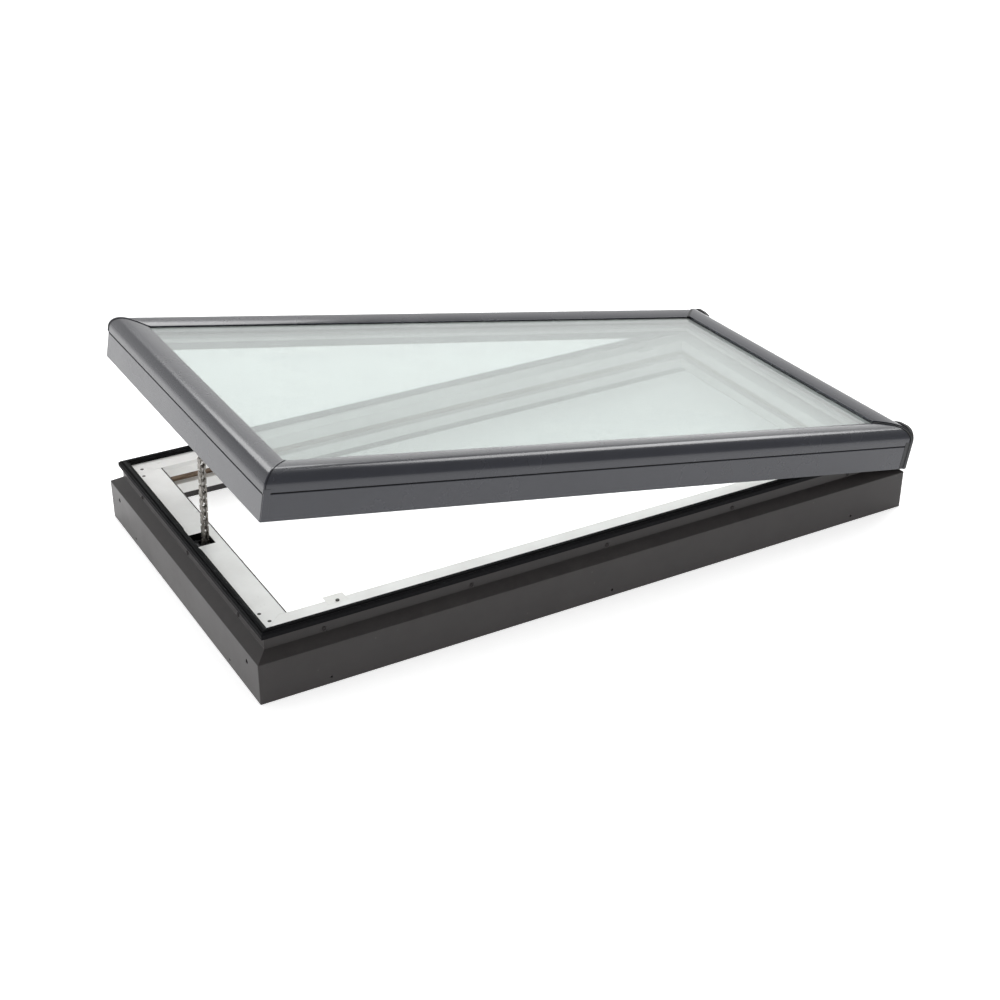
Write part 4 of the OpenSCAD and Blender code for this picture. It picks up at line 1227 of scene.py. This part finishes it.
@dataclass
class PushChain:
    """The one-way chain: plates with a straight back, bushes, and riveted pins."""

    plan: Plan
    finishes: Finishes
    foot: tuple[float, float, float] = (-600.0, 0.0, 32.0)
    head_shut: tuple[float, float, float] = (-613.3, 0.0, 57.0)
    mouth_z: float = 50.0
    pitch: float = 12.7
    plate_t: float = 1.5
    inner_half: float = 2.0
    outer_half: float = 3.7
    round_r: float = 5.2
    back: float = 6.5
    waist: float = 2.6
    waist_half: float = 2.4
    pin_r: float = 1.7
    pin_half: float = 5.7
    bush_r: float = 3.0
    bush_half: float = 2.2
    stored: int = 6
    teeth: int = 6

    def plate(self, pitch: float, inset: float) -> BM:
        """One plate from the pin at the origin to the next, lying in the YZ plane.

        Args:
            pitch: Distance between its pins.
            inset: How much shorter its straight back is at each end.

        Returns:
            The plate, from x = 0 to its thickness.
        """
        r, mid = self.round_r, pitch / 2
        foot, top = -r + 0.2, pitch + r - 0.2
        bm = section([
            Corner(-self.back, foot + inset, 1.0, 2), Corner(-2.0, foot, 1.0, 2),
            Corner(r, foot, 4.6, 5), Corner(r, mid - self.waist_half, 2.0, 3),
            Corner(r - self.waist, mid, 1.6, 3), Corner(r, mid + self.waist_half, 2.0, 3),
            Corner(r, top, 4.6, 5), Corner(-2.0, top, 1.0, 2),
            Corner(-self.back, top - inset, 1.0, 2),
        ])
        thickened(bm, self.plate_t)
        rim = [e for e in bm.edges
               if len(e.link_faces) == 2 and e.calc_face_angle() > math.radians(60)
               and abs(e.verts[0].co.x - e.verts[1].co.x) < 1e-4]
        round_off(bm, rim, 0.25, 1)
        return bm

    def link(self, pitch: float, outer: bool) -> BM:
        """Makes a pair of plates, an inner pair with its bushes or an outer one with its pins.

        Args:
            pitch: Distance between its pins.
            outer: Whether it is an outer pair.

        Returns:
            The link, from its first pin at the origin up along Z.
        """
        bm = bmesh.new()
        half = self.outer_half if outer else self.inner_half
        for x in (half, -half - self.plate_t):
            pour(bm, self.plate(pitch, 0.0 if outer else 0.9), Matrix.Translation((x, 0, 0)))
        for z in (0.0, pitch):
            across = Matrix.Translation((0, 0, z)) @ ALONG_X
            if outer:
                p, h = self.pin_r, self.pin_half
                pour(bm, lathe([(0, -h), (p * 1.25, -h + 0.1), (p * 1.35, -h + 0.5), (p, -h + 0.6),
                                (p, h - 0.6), (p * 1.35, h - 0.5), (p * 1.25, h - 0.1), (0, h)],
                               14), across)
            else:
                b, h = self.bush_r, self.bush_half
                pour(bm, lathe([(0, -h), (b, -h), (b, h), (0, h)], 16), across)
        return bm

    def run_ends(self) -> tuple[Vector, Vector]:
        """The exposed run's first pin, at the sprocket, and its last, on the open sash."""
        return Vector(self.foot), self.plan.swung() @ Vector(self.head_shut)

    def build(self) -> None:
        """Builds the run that rises to the sash, which draws in as it shuts, and the store."""
        foot, head = self.run_ends()
        along = head - foot
        count = round(along.length / self.pitch)
        step = along.length / count
        lean = Matrix.Rotation(math.atan2(along.x, along.z), 4, "Y")
        rising = bmesh.new()
        for outer in (True, False):
            places = [
                Matrix.Translation(foot) @ lean @ Matrix.Translation((0, 0, i * step))
                for i in range(count) if ((count - 1 - i) % 2 == 0) is outer
            ]
            pour(rising, repeated(self.link(step, outer), places))
        chain = add_piece("push_chain", rising, Body.FRAME,
                          self.finishes.chain_steel,
                          ["chain_inner_links", "chain_outer_links", "chain_pins"])
        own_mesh(chain)
        self.build_store()

    def build_store(self) -> None:
        """The links round the sprocket and along the storage channel."""
        foot = Vector(self.foot)
        turn = 2 * math.pi / self.teeth
        r = self.pitch / 2 / math.sin(turn / 2)
        wrap = Vector((0, r - r * math.cos(turn), -r * math.sin(turn)))
        tail_z = -r
        tail_y = wrap.y + math.sqrt(self.pitch ** 2 - (wrap.z - tail_z) ** 2)
        pins = [Vector((0, 0, 0)), wrap] + [
            Vector((0, tail_y + i * self.pitch, tail_z)) for i in range(self.stored - 1)]
        store = bmesh.new()
        for i in range(1, len(pins)):
            to = pins[i - 1] - pins[i]
            angle = math.atan2(-to.y, to.z)
            place = Matrix.Translation(foot + pins[i]) @ Matrix.Rotation(angle, 4, "X")
            pour(store, self.link(self.pitch, i % 2 == 0), place)
        add_piece("stored_chain", store, Body.FRAME, self.finishes.chain_steel)


# ---------------------------------------------------------------- carried-over CAD


@dataclass(frozen=True)
class Eased:
    """A CAD node shown through a copy with eased edges and its own finish."""

    node: str
    finish: Material
    slot: str
    ease: float


class CarriedParts:
    """Parts whose CAD shape is right: each gets eased edges and its real finish."""

    def __init__(self, finishes: Finishes) -> None:
        """Lists the parts of each body with their finishes.

        Args:
            finishes: The skylight's materials.
        """
        f = finishes
        # The opening rail holds the opener's pocket and has no lining groove to show bare wood.
        frame_rails = [
            Eased(f"frame_rail_{side.word}",
                  f.white_sash if side is Side.OPENING else f.white_timber, "white_paint", 0.8)
            for side in Side
        ]
        sash_rails = [
            Eased(f"sash_rail_{side.word}", f.white_sash, "white_paint", 0.8) for side in Side
        ]
        self.parts = {
            Body.FRAME: frame_rails + [
                Eased("frame_corner_dowels", f.beech, "dowel_wood", 0.4),
                Eased("curb_seal", f.foam, "foam", 0.5),
                Eased("screen_catches", f.enamel, "zinc_steel", 0.2),
                Eased("frame_wood_screws", f.black_zinc, "zinc_steel", 0.0),
                Eased("opener_case", f.nylon, "dark_plastic", 0.6),
                Eased("opener_end_caps", f.nylon, "dark_plastic", 0.5),
                Eased("opener_lid", f.nylon, "dark_plastic", 0.6),
                Eased("opener_motor", f.zinc, "zinc_steel", 0.5),
                Eased("opener_gearbox", f.nylon, "dark_plastic", 0.8),
                Eased("chain_guide", f.nylon, "dark_plastic", 0.4),
                Eased("control_board", f.board, "circuit_board", 0.3),
                Eased("cable_gland", f.nylon, "dark_plastic", 0.3),
                Eased("hatch_liner", f.rubber, "black_rubber", 0.2),
                Eased("opener_cover", f.white_cover, "white_cover", 0.6),
                # Painted shadow: the cover seal's dark finish stands for the shadow gap along the
                # cover's edge.
                Eased("cover_seal", f.shadow_gap_finish, "foam", 0.3),
                Eased("hinge_frame_leaves", f.zinc, "zinc_steel", 0.3),
            ],
            Body.SASH: sash_rails + [
                Eased("seam_seals", f.rubber, "black_rubber", 0.3),
                Eased("outer_pane", f.outer_glass, "glazing", 0.6),
                Eased("inner_pane", f.inner_glass, "glazing", 0.6),
                Eased("glass_spacer", f.mill_aluminium, "mill_aluminium", 0.3),
                Eased("glass_edge_seal", f.butyl, "black_rubber", 0.3),
                Eased("glazing_gasket", f.rubber, "black_rubber", 0.3),
                Eased("glazing_tape", f.foam, "foam", 0.2),
                Eased("setting_blocks", f.nylon, "dark_plastic", 0.3),
                Eased("hinge_sash_leaves", f.zinc, "zinc_steel", 0.3),
                Eased("hinge_pins", f.ground_steel, "zinc_steel", 0.2),
                Eased("chain_lug", f.zinc, "zinc_steel", 0.3),
                Eased("sash_wood_screws", f.zinc, "zinc_steel", 0.0),
                Eased("sash_corner_dowels", f.beech, "dowel_wood", 0.2),
            ],
            Body.SPROCKET: [
                Eased("drive_sprocket", f.ground_steel, "zinc_steel", 0.2),
                Eased("drive_shaft", f.ground_steel, "zinc_steel", 0.2),
            ],
        }

    def build(self) -> None:
        """Builds each part's eased copy."""
        for body, parts in self.parts.items():
            for part in parts:
                copy = cad_copy(part.node)
                if part.ease:
                    ease_edges(copy, part.ease)
                add_piece(f"eased_{part.node}", copy, body, part.finish, [part.node],
                          sharp_deg=10 if part.slot == "glazing" else 35)


# ---------------------------------------------------------------- studio


@dataclass(frozen=True)
class SoftBox:
    """A soft studio lamp that faces a point of the object."""

    name: str
    place: tuple[float, float, float]
    size: tuple[float, float]
    power: float
    aim: tuple[float, float, float] = (0.0, 0.0, 0.05)

    def build(self) -> None:
        """Adds the lamp."""
        lamp = bpy.data.lights.new(self.name, "AREA")
        lamp.shape, lamp.energy = "RECTANGLE", self.power
        lamp.size, lamp.size_y = self.size
        obj = linked(self.name, lamp)
        obj.location = self.place
        obj.rotation_mode = "QUATERNION"
        obj.rotation_quaternion = (Vector(self.aim) - Vector(self.place)).to_track_quat("-Z", "Y")


@dataclass
class Studio:
    """A pale floor, soft light and the camera."""

    floor_half: float = 40.0
    floor_glow: float = 0.62
    dim: float = 0.4
    bright: float = 1.0
    eye: tuple[float, float, float] = (-1.4119, -2.3855, 1.4921)
    forward: tuple[float, float, float] = (0.4417, 0.7580, -0.4800)
    roll_deg: float = 0.38
    lens: float = 60.71
    boxes: list[SoftBox] = field(default_factory=lambda: [
        SoftBox("left_box", (-4.0, -0.5, 1.4), (2.0, 2.0), 13.0),
        SoftBox("top_box", (0.6, 3.2, 3.4), (3.4, 1.8), 88.0),
        SoftBox("right_box", (3.2, 0.9, 3.1), (1.6, 2.2), 60.0),
    ])

    def floor(self) -> None:
        """A plain, nearly white floor at the skirt's lower edge."""
        bm = bmesh.new()
        bmesh.ops.create_grid(bm, x_segments=1, y_segments=1, size=self.floor_half)
        bmesh.ops.translate(bm, vec=(0, 0, CAD_BOX[0].z), verts=bm.verts)
        mesh = taken(bm, "studio_floor")
        material, tree, where = start_material("matt_white_light_table")
        clouds = add_node(tree, "ShaderNodeTexNoise", {}, {
            "Vector": where, "Scale": per_metre(400.0), "Detail": 2.0}).outputs["Fac"]
        tone = add_node(tree, "ShaderNodeMix", {"data_type": "RGBA"}, {
            0: clouds, 6: linear("#fbfbfb"), 7: linear("#f7f7f7")}).outputs[2]
        shader = add_node(tree, "ShaderNodeBsdfPrincipled", {}, {
            "Base Color": tone, "Roughness": 0.9, "Specular IOR Level": 0.1,
            "Emission Color": linear("#ffffff"), "Emission Strength": self.floor_glow})
        add_node(tree, "ShaderNodeOutputMaterial", {}, {"Surface": shader.outputs[0]})
        mesh.materials.append(material)
        linked("studio_floor", mesh)

    def sky(self) -> None:
        """Surrounding light: a bright band behind the object, dimmer in front and overhead."""
        world = bpy.data.worlds.new("studio_light")
        bpy.context.scene.world = world
        world.use_nodes = True
        tree = world.node_tree
        tree.nodes.clear()
        where = add_node(tree, "ShaderNodeTexCoord").outputs["Generated"]
        axes = add_node(tree, "ShaderNodeSeparateXYZ", {}, {0: where}).outputs
        band = add_node(tree, "ShaderNodeMapRange", {}, {
            "Value": axes["Z"], "From Min": 0.42, "From Max": 0.62, "To Min": 1.0, "To Max": 0.0})
        behind = add_node(tree, "ShaderNodeMapRange", {}, {
            "Value": axes["Y"], "From Min": -0.35, "From Max": 0.25})
        share = add_node(tree, "ShaderNodeMath", {"operation": "MULTIPLY"}, {
            0: band.outputs[0], 1: behind.outputs[0]})
        light = add_node(tree, "ShaderNodeMapRange", {}, {
            "Value": share.outputs[0], "To Min": self.dim, "To Max": self.bright}).outputs[0]
        back = add_node(tree, "ShaderNodeBackground", {}, {
            "Color": linear("#ffffff"), "Strength": light})
        add_node(tree, "ShaderNodeOutputWorld", {}, {"Surface": back.outputs[0]})

    def camera(self) -> None:
        """The camera at the eye, with its small roll."""
        data = bpy.data.cameras.new("studio_camera")
        data.lens, data.sensor_width, data.clip_end = self.lens, 36.0, 100.0
        ahead = Vector(self.forward).normalized()
        right = ahead.cross(Vector((0, 0, 1))).normalized()
        up = right.cross(ahead)
        roll = math.radians(self.roll_deg)
        across = right * math.cos(roll) + up * math.sin(roll)
        over = across.cross(ahead)
        turn = Matrix((across, over, -ahead)).transposed().to_4x4()
        obj = linked("studio_camera", data)
        obj.matrix_world = Matrix.Translation(self.eye) @ turn
        bpy.context.scene.camera = obj

    def build(self) -> None:
        """Builds the floor, the light and the camera."""
        bpy.context.scene.view_settings.view_transform = "Standard"
        self.floor()
        self.sky()
        for box in self.boxes:
            box.build()
        self.camera()


def main() -> None:
    """Builds the skylight's looks in order."""
    logging.basicConfig(level=logging.INFO, format="%(name)s: %(message)s")
    plan = Plan.from_frame()
    finishes = Finishes()
    Studio().build()
    FrameCladding(plan, finishes).build()
    FrameGasket(plan, finishes).build()
    SashCladding(plan, finishes).build()
    Screws(plan, finishes).build()
    PushChain(plan, finishes).build()
    CarriedParts(finishes).build()


if __name__ == "__main__":
    main()
